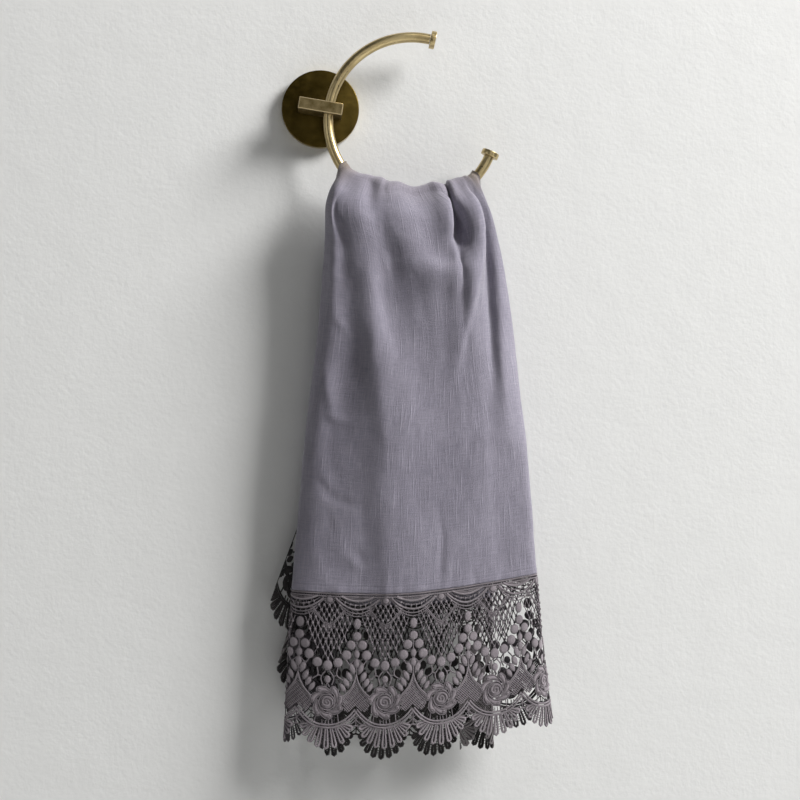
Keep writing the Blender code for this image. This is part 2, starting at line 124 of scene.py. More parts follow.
def addNode(tree, kind, settings=None, **inputs):
    made = tree.nodes.new("ShaderNode" + kind)
    for label, value in (settings or {}).items():
        setattr(made, label, value)
    return plug(tree, made, inputs)


def newGroup(name, inputs, outputs):
    group = bpy.data.node_groups.new(name, "ShaderNodeTree")
    for label, kind, value in inputs:
        socket = group.interface.new_socket(name=label, in_out="INPUT", socket_type=kind)
        if value is not None:
            socket.default_value = value
    for label, kind in outputs:
        group.interface.new_socket(name=label, in_out="OUTPUT", socket_type=kind)
    return group, group.nodes.new("NodeGroupInput"), group.nodes.new("NodeGroupOutput")


def useGroup(tree, group, **inputs):
    made = tree.nodes.new("ShaderNodeGroup")
    made.node_tree = group
    return plug(tree, made, inputs)


def maths(tree, operation, a, b=0.0, c=0.0):
    return addNode(tree, "Math", {"operation": operation}, i0=a, i1=b, i2=c).outputs[0]


def times(tree, a, b):
    return maths(tree, "MULTIPLY", a, b)


def plus(tree, a, b):
    return maths(tree, "ADD", a, b)


def ramp(tree, value, low, high, toLow=0.0, toHigh=1.0):
    return addNode(tree, "MapRange", i0=value, i1=low, i2=high, i3=toLow, i4=toHigh).outputs[0]


def mixColour(tree, factor, a, b):
    return addNode(tree, "Mix", {"data_type": "RGBA"}, i0=factor, i6=a, i7=b).outputs[2]


def newMaterial(name):
    material = bpy.data.materials.new(name)
    material.use_nodes = True
    return material, material.node_tree, material.node_tree.nodes["Principled BSDF"]


def weaveGroup():
    # uneven threads both ways, read from the cloth's own metres
    group, enter, leave = newGroup(
        "linenThreads",
        [("Cloth", "NodeSocketVector", None), ("Threads", "NodeSocketFloat", 1400.0),
         ("Slubs", "NodeSocketFloat", 0.5)],
        [("Streak", "NodeSocketFloat"), ("Height", "NodeSocketFloat")])
    across, down, _ = addNode(group, "SeparateXYZ", i0=enter.outputs["Cloth"]).outputs
    threads = enter.outputs["Threads"]
    fine = times(group, threads, 0.75)
    long = times(group, threads, 0.06)
    runs = []
    for first, second in ((fine, long), (long, fine)):
        place = addNode(group, "CombineXYZ", i0=times(group, across, first),
                        i1=times(group, down, second))
        runs.append(addNode(group, "TexNoise", {"noise_dimensions": "2D"}, Vector=place.outputs[0],
                            Scale=1.0, Detail=3.0, Roughness=0.65).outputs[0])
    slubPlace = addNode(group, "CombineXYZ", i0=times(group, across, times(group, threads, 0.33)),
                        i1=times(group, down, times(group, threads, 0.025)))
    slub = addNode(group, "TexNoise", {"noise_dimensions": "2D"}, Vector=slubPlace.outputs[0],
                   Scale=1.0, Detail=1.0)
    both = plus(group, times(group, runs[0], 0.58), times(group, runs[1], 0.42))
    slubs = times(group, ramp(group, slub.outputs[0], 0.60, 0.78), enter.outputs["Slubs"])
    plug(group, leave, {"Streak": plus(group, both, times(group, slubs, 0.16))})
    over, under = (maths(group, "SINE", times(group, way, times(group, threads, 6.28)))
                   for way in (across, down))
    plug(group, leave, {"Height": plus(group, times(group, times(group, over, under), 0.25),
                                       plus(group, both, slubs))})
    return group


def mottleGroup():
    # two sizes of cloudy patches
    group, enter, leave = newGroup(
        "cloudyPatches",
        [("Place", "NodeSocketVector", None), ("Scale", "NodeSocketFloat", 60.0),
         ("Low", "NodeSocketFloat", 0.35), ("High", "NodeSocketFloat", 0.65)],
        [("Mask", "NodeSocketFloat"), ("Fine", "NodeSocketFloat")])
    wide = addNode(group, "TexNoise", Vector=enter.outputs["Place"], Scale=enter.outputs["Scale"],
                   Detail=5.0, Roughness=0.62)
    fine = addNode(group, "TexNoise", Vector=enter.outputs["Place"],
                   Scale=times(group, enter.outputs["Scale"], 11.0), Detail=2.0)
    mask = ramp(group, wide.outputs[0], enter.outputs["Low"], enter.outputs["High"])
    plug(group, leave, {"Mask": mask, "Fine": fine.outputs[0]})
    return group


weave = weaveGroup()
mottle = mottleGroup()


# materials

linenFinish = {
    "dark": (0.165, 0.155, 0.199, 1),
    "light": (0.367, 0.347, 0.417, 1),
    # colour of the painted show-through of the brass under the thin cloth
    "paintedBrassShowThrough": (0.235, 0.190, 0.140, 1),
    "threads": 1400.0, "slubs": 0.5, "fadeScale": 14.0, "bump": 0.00035,
    "roughness": 0.92, "sheen": 0.35, "sheenRoughness": 0.45,
}
laceFinish = {
    "dark": (0.050, 0.043, 0.050, 1),
    "light": (0.318, 0.282, 0.308, 1),
    "bump": 0.00045,
}
# a darker copy of the lace thread for the back lace: painted shade, for the layer that hangs in the front's
# shadow
backLacePaintedShade = {
    "dark": (0.016, 0.013, 0.013, 1),
    "light": (0.260, 0.235, 0.245, 1),
    "bump": 0.00025,
}
# brass: cloudy patches of two colours, the range of roughness and the depth of the scratches, and for the
# bar and plate a lighter colour on their edges, partly rubbed wear and partly painted highlight
rodFinish = {
    "dark": (0.40, 0.31, 0.155, 1), "light": (0.60, 0.49, 0.27, 1), "scale": 55.0,
    "mask": (0.3, 0.7), "rough": (0.27, 0.35), "scratch": 0.00001,
}
barFinish = {
    "dark": (0.13, 0.095, 0.035, 1), "light": (0.34, 0.27, 0.14, 1), "scale": 95.0,
    "mask": (0.32, 0.66), "rough": (0.30, 0.48), "scratch": 0.00005, "rubbedWearAndHighlight": (0.62, 0.50, 0.30, 1),
}
plateFinish = {
    "dark": (0.040, 0.027, 0.005, 1), "light": (0.130, 0.090, 0.022, 1), "scale": 38.0,
    "mask": (0.34, 0.72), "rough": (0.32, 0.48), "scratch": 0.00004, "rubbedWearAndHighlight": (0.50, 0.40, 0.20, 1),
}


def linenMaterial(values):
    material, tree, shader = newMaterial("lilacGreyLinen")
    cloth = addNode(tree, "UVMap", {"uv_map": "cloth"})
    threads = useGroup(tree, weave, Cloth=cloth.outputs[0], Threads=values["threads"],
                       Slubs=values["slubs"])
    faded = useGroup(tree, mottle, Place=addNode(tree, "TexCoord").outputs["Object"],
                     Scale=values["fadeScale"], Low=0.30, High=0.70)
    tone = plus(tree, times(tree, threads.outputs["Streak"], 0.85),
                times(tree, faded.outputs["Mask"], 0.16))
    colour = mixColour(tree, ramp(tree, tone, 0.20, 0.86), values["dark"], values["light"])
    # painted show-through: the brass under the thin cloth near the rod's ends, mixed into the colour
    near = addNode(tree, "Attribute", {"attribute_name": "paintedBrassShowThrough"})
    colour = mixColour(tree, near.outputs["Fac"], colour, values["paintedBrassShowThrough"])
    bump = addNode(tree, "Bump", Height=threads.outputs["Height"], Distance=values["bump"], Strength=0.8)
    plug(tree, shader, {"Base Color": colour, "Roughness": values["roughness"],
                        "Sheen Weight": values["sheen"], "Sheen Roughness": values["sheenRoughness"],
                        "Specular IOR Level": 0.2, "Normal": bump.outputs[0]})
    return material


def laceMaterial(name, values):
    material, tree, shader = newMaterial(name)
    place = addNode(tree, "TexCoord").outputs["Object"]
    grain = useGroup(tree, mottle, Place=place, Scale=90.0, Low=0.30, High=0.70)
    # painted shade of the cords' sides and low parts, read as a factor on the colour
    lift = addNode(tree, "Attribute", {"attribute_name": "paintedCordShade"})
    tone = plus(tree, times(tree, grain.outputs["Mask"], 0.22), times(tree, grain.outputs["Fine"], 0.42))
    # the painted shade pulls the tone towards the dark colour
    tone = times(tree, plus(tree, tone, 0.56), lift.outputs["Fac"])
    colour = mixColour(tree, tone, values["dark"], values["light"])
    stitches = addNode(tree, "TexNoise", Vector=place, Scale=1500.0, Detail=2.0)
    bump = addNode(tree, "Bump", Height=stitches.outputs[0], Distance=values["bump"], Strength=0.8)
    plug(tree, shader, {"Base Color": colour, "Roughness": 0.82, "Sheen Weight": 0.2,
                        "Specular IOR Level": 0.3, "Normal": bump.outputs[0]})
    return material


def brassMaterial(name, values, edges=None):
    # edges is the function that finds the edges that are lightened in colour, partly as rubbed wear and
    # partly as painted highlight
    material, tree, shader = newMaterial(name)
    place = addNode(tree, "TexCoord").outputs["Object"]
    low, high = values["mask"]
    patches = useGroup(tree, mottle, Place=place, Scale=values["scale"], Low=low, High=high)
    colour = mixColour(tree, patches.outputs["Mask"], values["dark"], values["light"])
    if edges:
        # painted highlight and rubbed wear: the edges' colour is lightened
        colour = mixColour(tree, times(tree, edges(tree, place), 0.8), colour, values["rubbedWearAndHighlight"])
    fine = patches.outputs["Fine"]
    bump = addNode(tree, "Bump", Height=fine, Distance=values["scratch"], Strength=0.5)
    plug(tree, shader, {"Base Color": colour, "Metallic": 1.0, "Normal": bump.outputs[0],
                        "Roughness": ramp(tree, fine, 0.3, 0.7, *values["rough"])})
    return material


def plateRim(tree, place):
    # outer edge of the wall plate, lightened as rubbed wear and as a painted reflection of the lit wall
    # below it
    x, y, z = addNode(tree, "SeparateXYZ", i0=place).outputs
    out = maths(tree, "SQRT", plus(tree, maths(tree, "POWER", x, 2.0), maths(tree, "POWER", z, 2.0)))
    side = maths(tree, "GREATER_THAN", y, -0.0071)
    return times(tree, maths(tree, "GREATER_THAN", out, 0.0300), side)


def barEdges(tree, place):
    # the four edges of the bar's front face, which is turned by its tilt; they are lightened as rubbed wear
    # and as a painted highlight
    turned = addNode(tree, "VectorRotate", {"rotation_type": "Y_AXIS"}, Vector=place, Center=(0, 0, -0.002),
                     Angle=math.radians(-9))
    x, y, z = addNode(tree, "SeparateXYZ", i0=turned.outputs[0]).outputs
    ends = maths(tree, "GREATER_THAN", maths(tree, "ABSOLUTE", x), 0.01655)
    sides = maths(tree, "GREATER_THAN", maths(tree, "ABSOLUTE", plus(tree, z, 0.002)), 0.00385)
    front = maths(tree, "LESS_THAN", y, -0.0323)
    return times(tree, maths(tree, "MAXIMUM", ends, sides), front)


linenCloth = linenMaterial(linenFinish)
laceThread = laceMaterial("greyLaceThread", laceFinish)
paintedShadeThread = laceMaterial("paintedShadeLaceThread", backLacePaintedShade)
rodBrass = brassMaterial("brushedBrassRod", rodFinish)
barBrass = brassMaterial("agedBrassBar", barFinish, barEdges)
plateBrass = brassMaterial("darkBrassPlate", plateFinish, plateRim)
print("materials made")


# pieces of brass

hardware = {
    "ringX": 71.7, "ringY": -25.0, "ringZ": -12.4, "ringRadius": 65.8,
    "rodRadius": 4.0, "rodStart": 78.0, "rodEnd": 335.6, "rodSides": 32, "rodSteps": 170,
    "plateRadius": 30.5, "plateThickness": 8.0, "plateEdge": 0.9,
    "capRadius": 7.0, "capLength": 4.1, "capEdge": 0.45, "capGap": 0.3,
}


def toObject(name, bm, material):
    mesh = bpy.data.meshes.new(name)
    bm.to_mesh(mesh)
    bm.free()
    mesh.materials.append(material)
    made = bpy.data.objects.new(name, mesh)
    bpy.context.collection.objects.link(made)
    return made


def finishPiece(name, bm, material, smoothAngle=None):
    piece = toObject(name, bm, material)
    if smoothAngle is not None:
        piece.data.shade_smooth()
        piece.data.set_sharp_from_angle(angle=math.radians(smoothAngle))
    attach(piece, "root")
    return piece


def roundDisc(radius, length, edge, sides, place, direction):
    # disc that starts at place and reaches along direction
    bm = bmesh.new()
    bmesh.ops.create_cone(bm, cap_ends=True, segments=sides, radius1=radius, radius2=radius,
                          depth=length, matrix=Matrix.Translation((0, 0, length / 2)))
    rims = [e for e in bm.edges if abs(e.verts[0].co.z - e.verts[1].co.z) < length / 2]
    bmesh.ops.bevel(bm, geom=rims, offset=edge, segments=3, profile=0.5, affect="EDGES",
                    material=-1)
    bmesh.ops.rotate(bm, verts=bm.verts, cent=(0, 0, 0),
                     matrix=direction.to_track_quat("Z", "Y").to_matrix())
    bmesh.ops.translate(bm, verts=bm.verts, vec=place)
    return bm


def ringPoint(values, degrees):
    turn = math.radians(degrees)
    centre = Vector((values["ringX"], values["ringY"], values["ringZ"]))
    outward = Vector((math.cos(turn), 0, math.sin(turn)))
    along = Vector((-math.sin(turn), 0, math.cos(turn)))
    return centre, outward, along


def makeRod(values):
    centre, outward, along = ringPoint(values, values["rodStart"])
    bm = bmesh.new()
    middle = centre + outward * values["ringRadius"]
    facing = along.to_track_quat("Z", "Y").to_matrix().to_4x4()
    bmesh.ops.create_circle(bm, cap_ends=True, segments=values["rodSides"],
                            radius=values["rodRadius"] * mm,
                            matrix=Matrix.Translation(middle * mm) @ facing)
    bmesh.ops.spin(bm, geom=list(bm.faces), cent=centre * mm, axis=(0, -1, 0),
                   angle=math.radians(values["rodEnd"] - values["rodStart"]),
                   steps=values["rodSteps"], use_merge=False)
    bmesh.ops.recalc_face_normals(bm, faces=bm.faces)
    rod = finishPiece("ringRod", bm, rodBrass, 40)
    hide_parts("ring_rod")


def makeCap(name, node, values, degrees, beyond):
    centre, outward, along = ringPoint(values, degrees)
    direction = along * beyond
    place = centre + outward * values["ringRadius"] + direction * values["capGap"]
    bm = roundDisc(values["capRadius"] * mm, values["capLength"] * mm, values["capEdge"] * mm,
                   64, place * mm, direction)
    cap = finishPiece(name, bm, rodBrass, 35)
    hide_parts(node)


def makePlate(values):
    bm = roundDisc(values["plateRadius"] * mm, values["plateThickness"] * mm,
                   values["plateEdge"] * mm, 128, Vector((0, 0, 0)), Vector((0, -1, 0)))
    plate = finishPiece("wallPlate", bm, plateBrass, 35)
    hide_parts("rosette")


makeRod(hardware)
makeCap("upperEndCap", "upper_cap", hardware, hardware["rodStart"], -1)
makeCap("lowerEndCap", "lower_cap", hardware, hardware["rodEnd"], 1)
makePlate(hardware)
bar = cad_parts["clamp_bar"]
bar.data.materials.clear()
bar.data.materials.append(barBrass)
print("brass made")


# how the towel hangs

towel = {
    "width": 320.5, "linen": 316.0, "lace": 120.0,
    "archLength": 9.0, "archHeight": 6.0,
    "stations": (27.0, 62.0, 117.0, 202.0, 316.0),
    "acrossSteps": 641, "dropSteps": 439, "dropEnd": 438.0,
    # gathers of the back under the ring: drop, height, and their spacing on the flat cloth
    "gathers": ((30, 0), (50, 4.0), (130, 4.0), (210, 3.1), (305, 0), (438, 0)), "gatherWidth": 25.0,
    "backShare": 0.3,
    # random waves: height, width and length on the flat cloth, and the two sizes of dents
    "waves": ((0.40, 30, 52), (0.22, 13, 27), (0.10, 6, 9)), "dents": ((0.8, 19, 30), (0.45, 10, 15)),
    "dentPlace": 12, "dentReach": 34, "dentDepth": (0.45, 0.75), "settle": 18,
    # no waves above this drop, and how far down they grow to full height
    "calm": 12, "calmReach": 30, "puckerFade": 30, "backPuckers": 0.4,
    # the gathers wander by so much, and fade out towards the right edge
    "gatherLean": (6, 60, 110), "gatherEnd": 300, "gatherFade": 26,
}
# a row of the folds is a line down the cloth: its place across the flat towel, x, y at the
# shoulder, neck, waist and skirt, and x, y, z at the seam and the hem. The ridge has x, z of
# the front's lines where they pass over the rod, and how far the cloth stands out there
frontRidge = np.array((
    (19.6, -43.9, 5.4), (20.4, -45.3, 5.4), (21.5, -46.8, 6.2), (22.4, -48, 7.2), (24.2, -50.2, 7.6),
    (30.5, -53.2, 8), (40, -54.6, 8), (50.5, -62.3, 8), (61, -61, 8), (74, -63.6, 8), (86, -60.8, 8),
    (92, -62.5, 8), (101, -59.5, 8), (106, -56.5, 8), (109, -56.2, 8), (112.4, -54.8, 8),
    (114.5, -55.1, 8), (116.2, -53.8, 7.6), (117.6, -52.2, 5.8), (119, -50.6, 5.4),
), float)
frontFolds = np.array((
    (0, 11.5, -24, 20, -29.5, 22, -28, 20, -27, 14, -27, -376, 11, -27, -495),
    (22, 9, -28, 11, -29.3, 9, -27.5, 3, -26.5, -6, -26.5, -376.2, -10, -26.5, -495.5),
    (44.5, 7.2, -32.2, 4, -30, 0.5, -29, -9, -28.5, -20.5, -28.5, -376.5, -26.5, -29, -496),
    (54.5, 6.4, -34.5, 2.6, -34, -1.6, -34, -11.6, -34, -22.3, -34.5, -376.7, -28.5, -35, -496.5),
    (68.5, 9.6, -39.5, 9, -42, 8, -44, -3, -43, -10.5, -41.5, -377.2, -15, -42, -497.3),
    (86.5, 14, -37, 18.5, -39.5, 25.5, -41, 14, -44.5, 7, -44.5, -377.8, 3.7, -44.5, -498),
    (108.5, 31, -44, 37, -47, 43, -48, 35, -47, 28.5, -44, -378.2, 26, -44, -498),
    (131, 48, -41.5, 54, -46.5, 60, -48.5, 54, -47.5, 50, -43.5, -378, 48.3, -44.5, -497),
    (152.5, 64, -45, 70, -48.5, 76, -49.5, 73, -48, 70.5, -45, -377, 69.5, -46, -495.5),
    (175.5, 81, -46.5, 88, -50, 92, -51, 93, -49, 92, -46, -374.7, 92, -45.5, -493.5),
    (190.5, 98, -47.5, 102, -50, 103, -51.5, 106, -49.5, 106, -46, -373, 106.5, -44.5, -491.5),
    (202.5, 102, -34.5, 108, -44.5, 110, -50.5, 115.5, -49, 116.5, -45.5, -371.5, 118, -43.5, -490),
    (214.5, 113, -46.5, 118, -50, 116.5, -50.5, 124.5, -48, 127, -44.5, -370, 129.5, -43.5, -488.3),
    (224.5, 122, -45.5, 125, -46.5, 122, -47.5, 132, -46, 136, -43, -368.7, 139, -43.5, -487),
    (232.5, 118, -38.5, 123.5, -40.5, 127.5, -44, 137.5, -44.5, 143, -41.5, -367.7, 146.5, -43.5, -486),
    (246.5, 124, -38, 130.5, -39, 134, -41.5, 147, -41.5, 154.5, -38.5, -365.8, 159.5, -42, -483.5),
    (264.5, 128.6, -36.8, 138.2, -34.5, 147, -34.5, 157, -35.5, 166.2, -33, -364, 174, -38, -481.5),
    (275.5, 128.7, -34.8, 137, -30.5, 145.5, -29.5, 156, -29, 166.5, -27, -364, 179.5, -31.5, -481),
    (296.5, 127.3, -30, 130, -28.7, 134, -27, 141, -25.5, 149, -23, -366, 164, -24.5, -483.5),
    (320.5, 124.8, -25.5, 118, -28, 118, -26, 121, -24.5, 127, -22.5, -369, 141.5, -21.5, -487),
), float)
backFolds = np.array((
    (0, 15, -16.5, 12, -15, 9, -14.5, 3, -15, -6, -16, -287, -42, -18, -394),
    (16, 18, -16, 17, -14, 14, -14, 9, -15.5, 3, -17, -293, -31.5, -20, -406),
    (38, 25, -16.5, 24, -15, 21, -14.5, 17, -15, 12, -17, -303, -12, -20, -418),
    (50, 29, -15.5, 28, -13.5, 25, -13, 20.5, -13, 16, -14, -309, -4, -15, -424),
    (62, 33, -14.5, 32, -12, 27.5, -11, 19.5, -10.5, 11, -12, -316, -12, -12.5, -431),
    (84, 40, -15.5, 38, -13.5, 30, -9.5, 15, -9, -1, -11, -327, -31, -11.5, -441),
    (90, 42, -16, 40, -14, 32, -9, 14.5, -7, -4, -7.5, -330, -35, -7.5, -446),
    (98, 45, -15.5, 42.5, -13.5, 35, -9, 17.5, -5.5, 0, -4, -336, -31, -4, -453),
    (120, 52, -14, 49, -11.5, 43, -11, 28, -8, 10, -5.4, -358, -14, -5, -478),
    (149.5, 60, -15.5, 56.5, -14, 51, -12, 38, -12.5, 21, -13, -389, 5, -12, -509),
    (172, 67, -14, 66, -12.5, 61, -14, 52, -14.5, 39, -15, -391, 26, -15.5, -510),
    (194, 75, -15.5, 74.5, -14, 72, -11.5, 66, -12, 57, -12, -392, 47.5, -12.5, -512.5),
    (216, 83, -14, 84.5, -12.5, 84, -15, 81, -14, 76, -11.5, -392, 68.5, -11, -512),
    (238.5, 92, -15.5, 94.5, -13.5, 95, -11.5, 94, -11.5, 94, -12.5, -390, 89, -12, -510),
    (252, 101, -14.5, 104, -13, 105, -14.5, 106, -14, 105, -13.5, -388.5, 102, -13, -509),
    (264.5, 107, -15.5, 111, -13.5, 114, -12.5, 116.5, -12, 117.5, -12, -387.5, 115, -11.5, -507.5),
    (275.5, 112, -16, 117, -14, 121, -12, 125, -11, 127, -10.5, -386.7, 125.5, -10, -506.5),
    (286, 116.5, -17, 122, -15.3, 126.5, -13, 131, -12, 134, -11.5, -386, 134, -11, -505.5),
    (291, 118, -17.8, 122.2, -16.6, 126, -15.6, 131, -14.8, 135, -14.4, -386, 135.7, -14, -505.3),
    (296.5, 118.8, -18.6, 121, -18.2, 122.5, -17.8, 127, -17.4, 131, -17.2, -386, 132.5, -17, -505.2),
    (320.5, 119.6, -19.6, 114, -19.3, 105, -18.8, 104, -18.6, 107, -18.2, -387, 109, -18, -506),
), float)


def smoothRows(knots, values, at):
    # smooth curves through rows of values, with slopes taken from the rows beside
    knots = np.array(knots, float)
    values = np.array(values, float)
    wide = (slice(None),) + (None,) * (values.ndim - 1)
    steps = np.diff(knots)[wide]
    rise = np.diff(values, axis=0) / steps
    slopes = np.empty_like(values)
    slopes[0], slopes[-1] = rise[0], rise[-1]
    slopes[1:-1] = (rise[:-1] * steps[1:] + rise[1:] * steps[:-1]) / (steps[:-1] + steps[1:])
    i = np.clip(np.searchsorted(knots, at, side="left") - 1, 0, len(knots) - 2)
    step = steps[i]
    t = (np.array(at) - knots[i])[wide] / step
    return (values[i] * (1 + 2 * t) * (1 - t) ** 2 + values[i + 1] * t * t * (3 - 2 * t)
            + slopes[i] * step * t * (1 - t) ** 2 + slopes[i + 1] * step * t * t * (t - 1))


def unit(vectors):
    return vectors / np.maximum(np.linalg.norm(vectors, axis=-1, keepdims=True), 1e-9)


def layCloth(folds, side, values, across, drop):
    # middle of the cloth, drop by across, from the rows of folds
    ridge = smoothRows(frontFolds[:, 0], frontRidge, across)
    centre = np.array((hardware["ringX"], hardware["ringZ"]))
    outward = unit(ridge[:, :2] - centre)
    turn = np.minimum(drop / values["archLength"], 1.0)[:, None] * math.pi / 2
    bend = values["archHeight"] * (1 - np.cos(turn))
    arch = np.stack((ridge[:, 0] + outward[:, 0] * bend,
                     hardware["ringY"] + side * ridge[:, 2] * np.sin(turn),
                     ridge[:, 1] + outward[:, 1] * bend), axis=-1)
    edge = arch[-1]
    places = smoothRows(folds[:, 0], folds[:, 1:], across)
    hang = [edge[:, :2]] + [places[:, k:k + 2] for k in (0, 2, 4, 6, 8, 11)]
    seam, hem = places[:, 10], places[:, 13]
    stops = (values["archLength"],) + values["stations"] + (values["linen"] + values["lace"],)
    low = smoothRows(stops, hang, np.maximum(drop, values["archLength"]))
    down = drop[:, None]
    panel = (down - values["archLength"]) / (values["linen"] - values["archLength"])
    z = np.where(down < values["linen"], edge[:, 2] + (seam - edge[:, 2]) * panel,
                 seam + (hem - seam) * (down - values["linen"]) / values["lace"])
    low = np.concatenate((low, z[..., None]), axis=-1)
    return np.where((down <= values["archLength"])[..., None], arch, low), ridge, turn


def clothNormals(middle, side, ridge, turn, values, drop):
    # towards the room in front and towards the wall behind
    along = np.gradient(middle, axis=1)
    down = np.gradient(middle, axis=0)
    loose = unit(np.cross(along, down)) * side
    inward = unit(np.array((hardware["ringX"], hardware["ringZ"])) - ridge[:, :2])
    bunched = np.stack((inward[:, 0] * ridge[:, 2] * np.cos(turn),
                        side * values["archHeight"] * np.sin(turn) * np.ones(len(ridge)),
                        inward[:, 1] * ridge[:, 2] * np.cos(turn)), axis=-1)
    spread = np.clip((drop - values["archLength"]) / (values["stations"][0] - values["archLength"]),
                     0, 1)
    spread = (spread * spread * (3 - 2 * spread))[:, None, None]
    return unit(unit(bunched) * (1 - spread) + loose * spread)


# creases of the front: x, z, height (a trough is negative) and how far the
# crease reaches to its left and to its right
frontCreases = [
    # long fold on the left, steep towards the wall's shadow
    [(19.5, -86, 0, 4, 14), (21.5, -97, 1.5, 4, 16), (24, -113, 1.5, 5, 16),
     (27, -135, 1.3, 5.5, 13), (29, -154, 1.6, 6, 12), (34.3, -168, 2.5, 8, 13),
     (40.3, -181, 3.4, 8, 16), (44, -202, 4.0, 9, 20), (47.5, -226, 4.4, 10, 26),
     (51, -245, 4.6, 11, 26), (53.5, -262, 4.4, 13, 26), (50, -286, 3.8, 14, 26),
     (49, -310, 3.8, 13, 26), (52, -341, 3.6, 12, 26), (54, -380, 3.2, 12, 26), (55, -440, 0, 14, 26)],
    # hump beside the left end of the ring
    [(48, -48, 0, 4.5, 10), (47.5, -56, 3.8, 4.5, 12), (46.5, -68, 4.0, 5, 14), (45, -80, 2.4, 6, 16),
     (43, -98, 0, 7, 16)],
    [(38, -50, 0, 4, 3.5), (39, -60, -2.4, 6, 3.5), (38, -74, -2.0, 6, 4.5), (36, -90, 0, 6, 5)],
    # the hollows of the solid that the photo does not show
    [(12, -58, 0, 5, 5), (13.5, -70, 1.6, 5, 6), (15, -84, 1.2, 5, 6), (17, -98, 0, 5, 5)],
    # bulge under the ring, which runs on as the lip of the bowl
    [(62, -92, 0, 12, 12), (67, -111, 2.0, 14, 12), (76, -125, 4.0, 16, 11), (88, -132, 5.4, 16, 9),
     (99, -133, 4.8, 15, 8), (108, -128, 3.4, 14, 7), (117, -115, 1.8, 11, 5), (122, -102, 0, 8, 5)],
    # humps either side of the pleat
    [(87, -59, 1.0, 4, 4), (92, -66, 4.0, 5, 3.6), (96, -80, 3.6, 6, 3.4), (98.5, -94, 2.2, 6, 3.4),
     (100, -106, 0, 6, 4)],
    [(99, -58, 1.0, 2, 4), (101.5, -64, 3.6, 2.2, 5), (104, -74, 4.2, 2.4, 5), (107, -82, 2.2, 3, 6),
     (112, -92, 0.6, 4, 6), (116, -104, 0, 6, 6)],
    [(95.5, -58, -1.5, 1.5, 1.5), (98, -68, -3.0, 1.6, 1.6), (99.8, -80, -3.6, 1.8, 2.4),
     (102, -92, -4.0, 2.2, 5.5), (104.5, -101, -3.2, 3, 6), (107, -111, 0, 5, 5)],
    # right edge of the front, and the tuck behind it
    [(113, -62, 0.6, 6, 2.5), (120.7, -77, 1.2, 6, 2.5), (124.7, -99, 1.4, 6, 2.5),
     (121.9, -125, 1.6, 6, 2.6), (116, -154, 1.7, 6, 2.8), (108.7, -183, 1.5, 6, 3),
     (104, -202, 1.0, 6, 4), (100, -222, 0, 6, 5)],
    # broad soft fold low on the right
    [(122, -240, 0, 10, 12), (128, -258, 0.9, 12, 14), (129, -285, 0.9, 12, 14), (131, -318, 0, 12, 14)],
    # small dry creases on the left
    [(1.5, -198, 0, 3, 7), (4.5, -222, 1.7, 2.6, 7), (8.5, -243, 1.7, 2.6, 6), (17, -247, 1.1, 3, 3),
     (27, -248, 0, 3, 3)],
    [(8, -161, 0, 3, 3.5), (15, -172, 1.2, 2.6, 3.5), (24, -184, 0.4, 2.6, 3.5)],
    [(3, -132, 0, 3, 3), (12, -136, 0.7, 2.4, 3), (24, -140, 0, 3, 3)],
    [(-7, -284, 0, 4, 3), (0, -294, -0.9, 3.6, 3), (8, -305, -1.1, 3.2, 3), (20, -309, -0.9, 3, 3),
     (35, -314, 0, 3, 3)],
    [(3, -308, 0, 3, 3), (7, -324, -0.9, 3, 3), (11, -343, 0, 3, 3)],
    [(14, -346, 0, 2, 2), (22, -353, 0.8, 2, 2), (32, -362, 0, 2, 2)],
    [(20, -340, 0, 2, 2), (30, -350, -0.8, 2, 2), (36, -360, 0, 2, 2)],
    # sharp short crease above the seam
    [(88.3, -303, 0, 2, 2.5), (91, -325, -0.7, 1.6, 2.4), (92.6, -334, -1.3, 1.4, 2.2),
     (91.6, -360, -1.2, 1.4, 2.2), (91.5, -374, 0, 2, 2.5)],
]
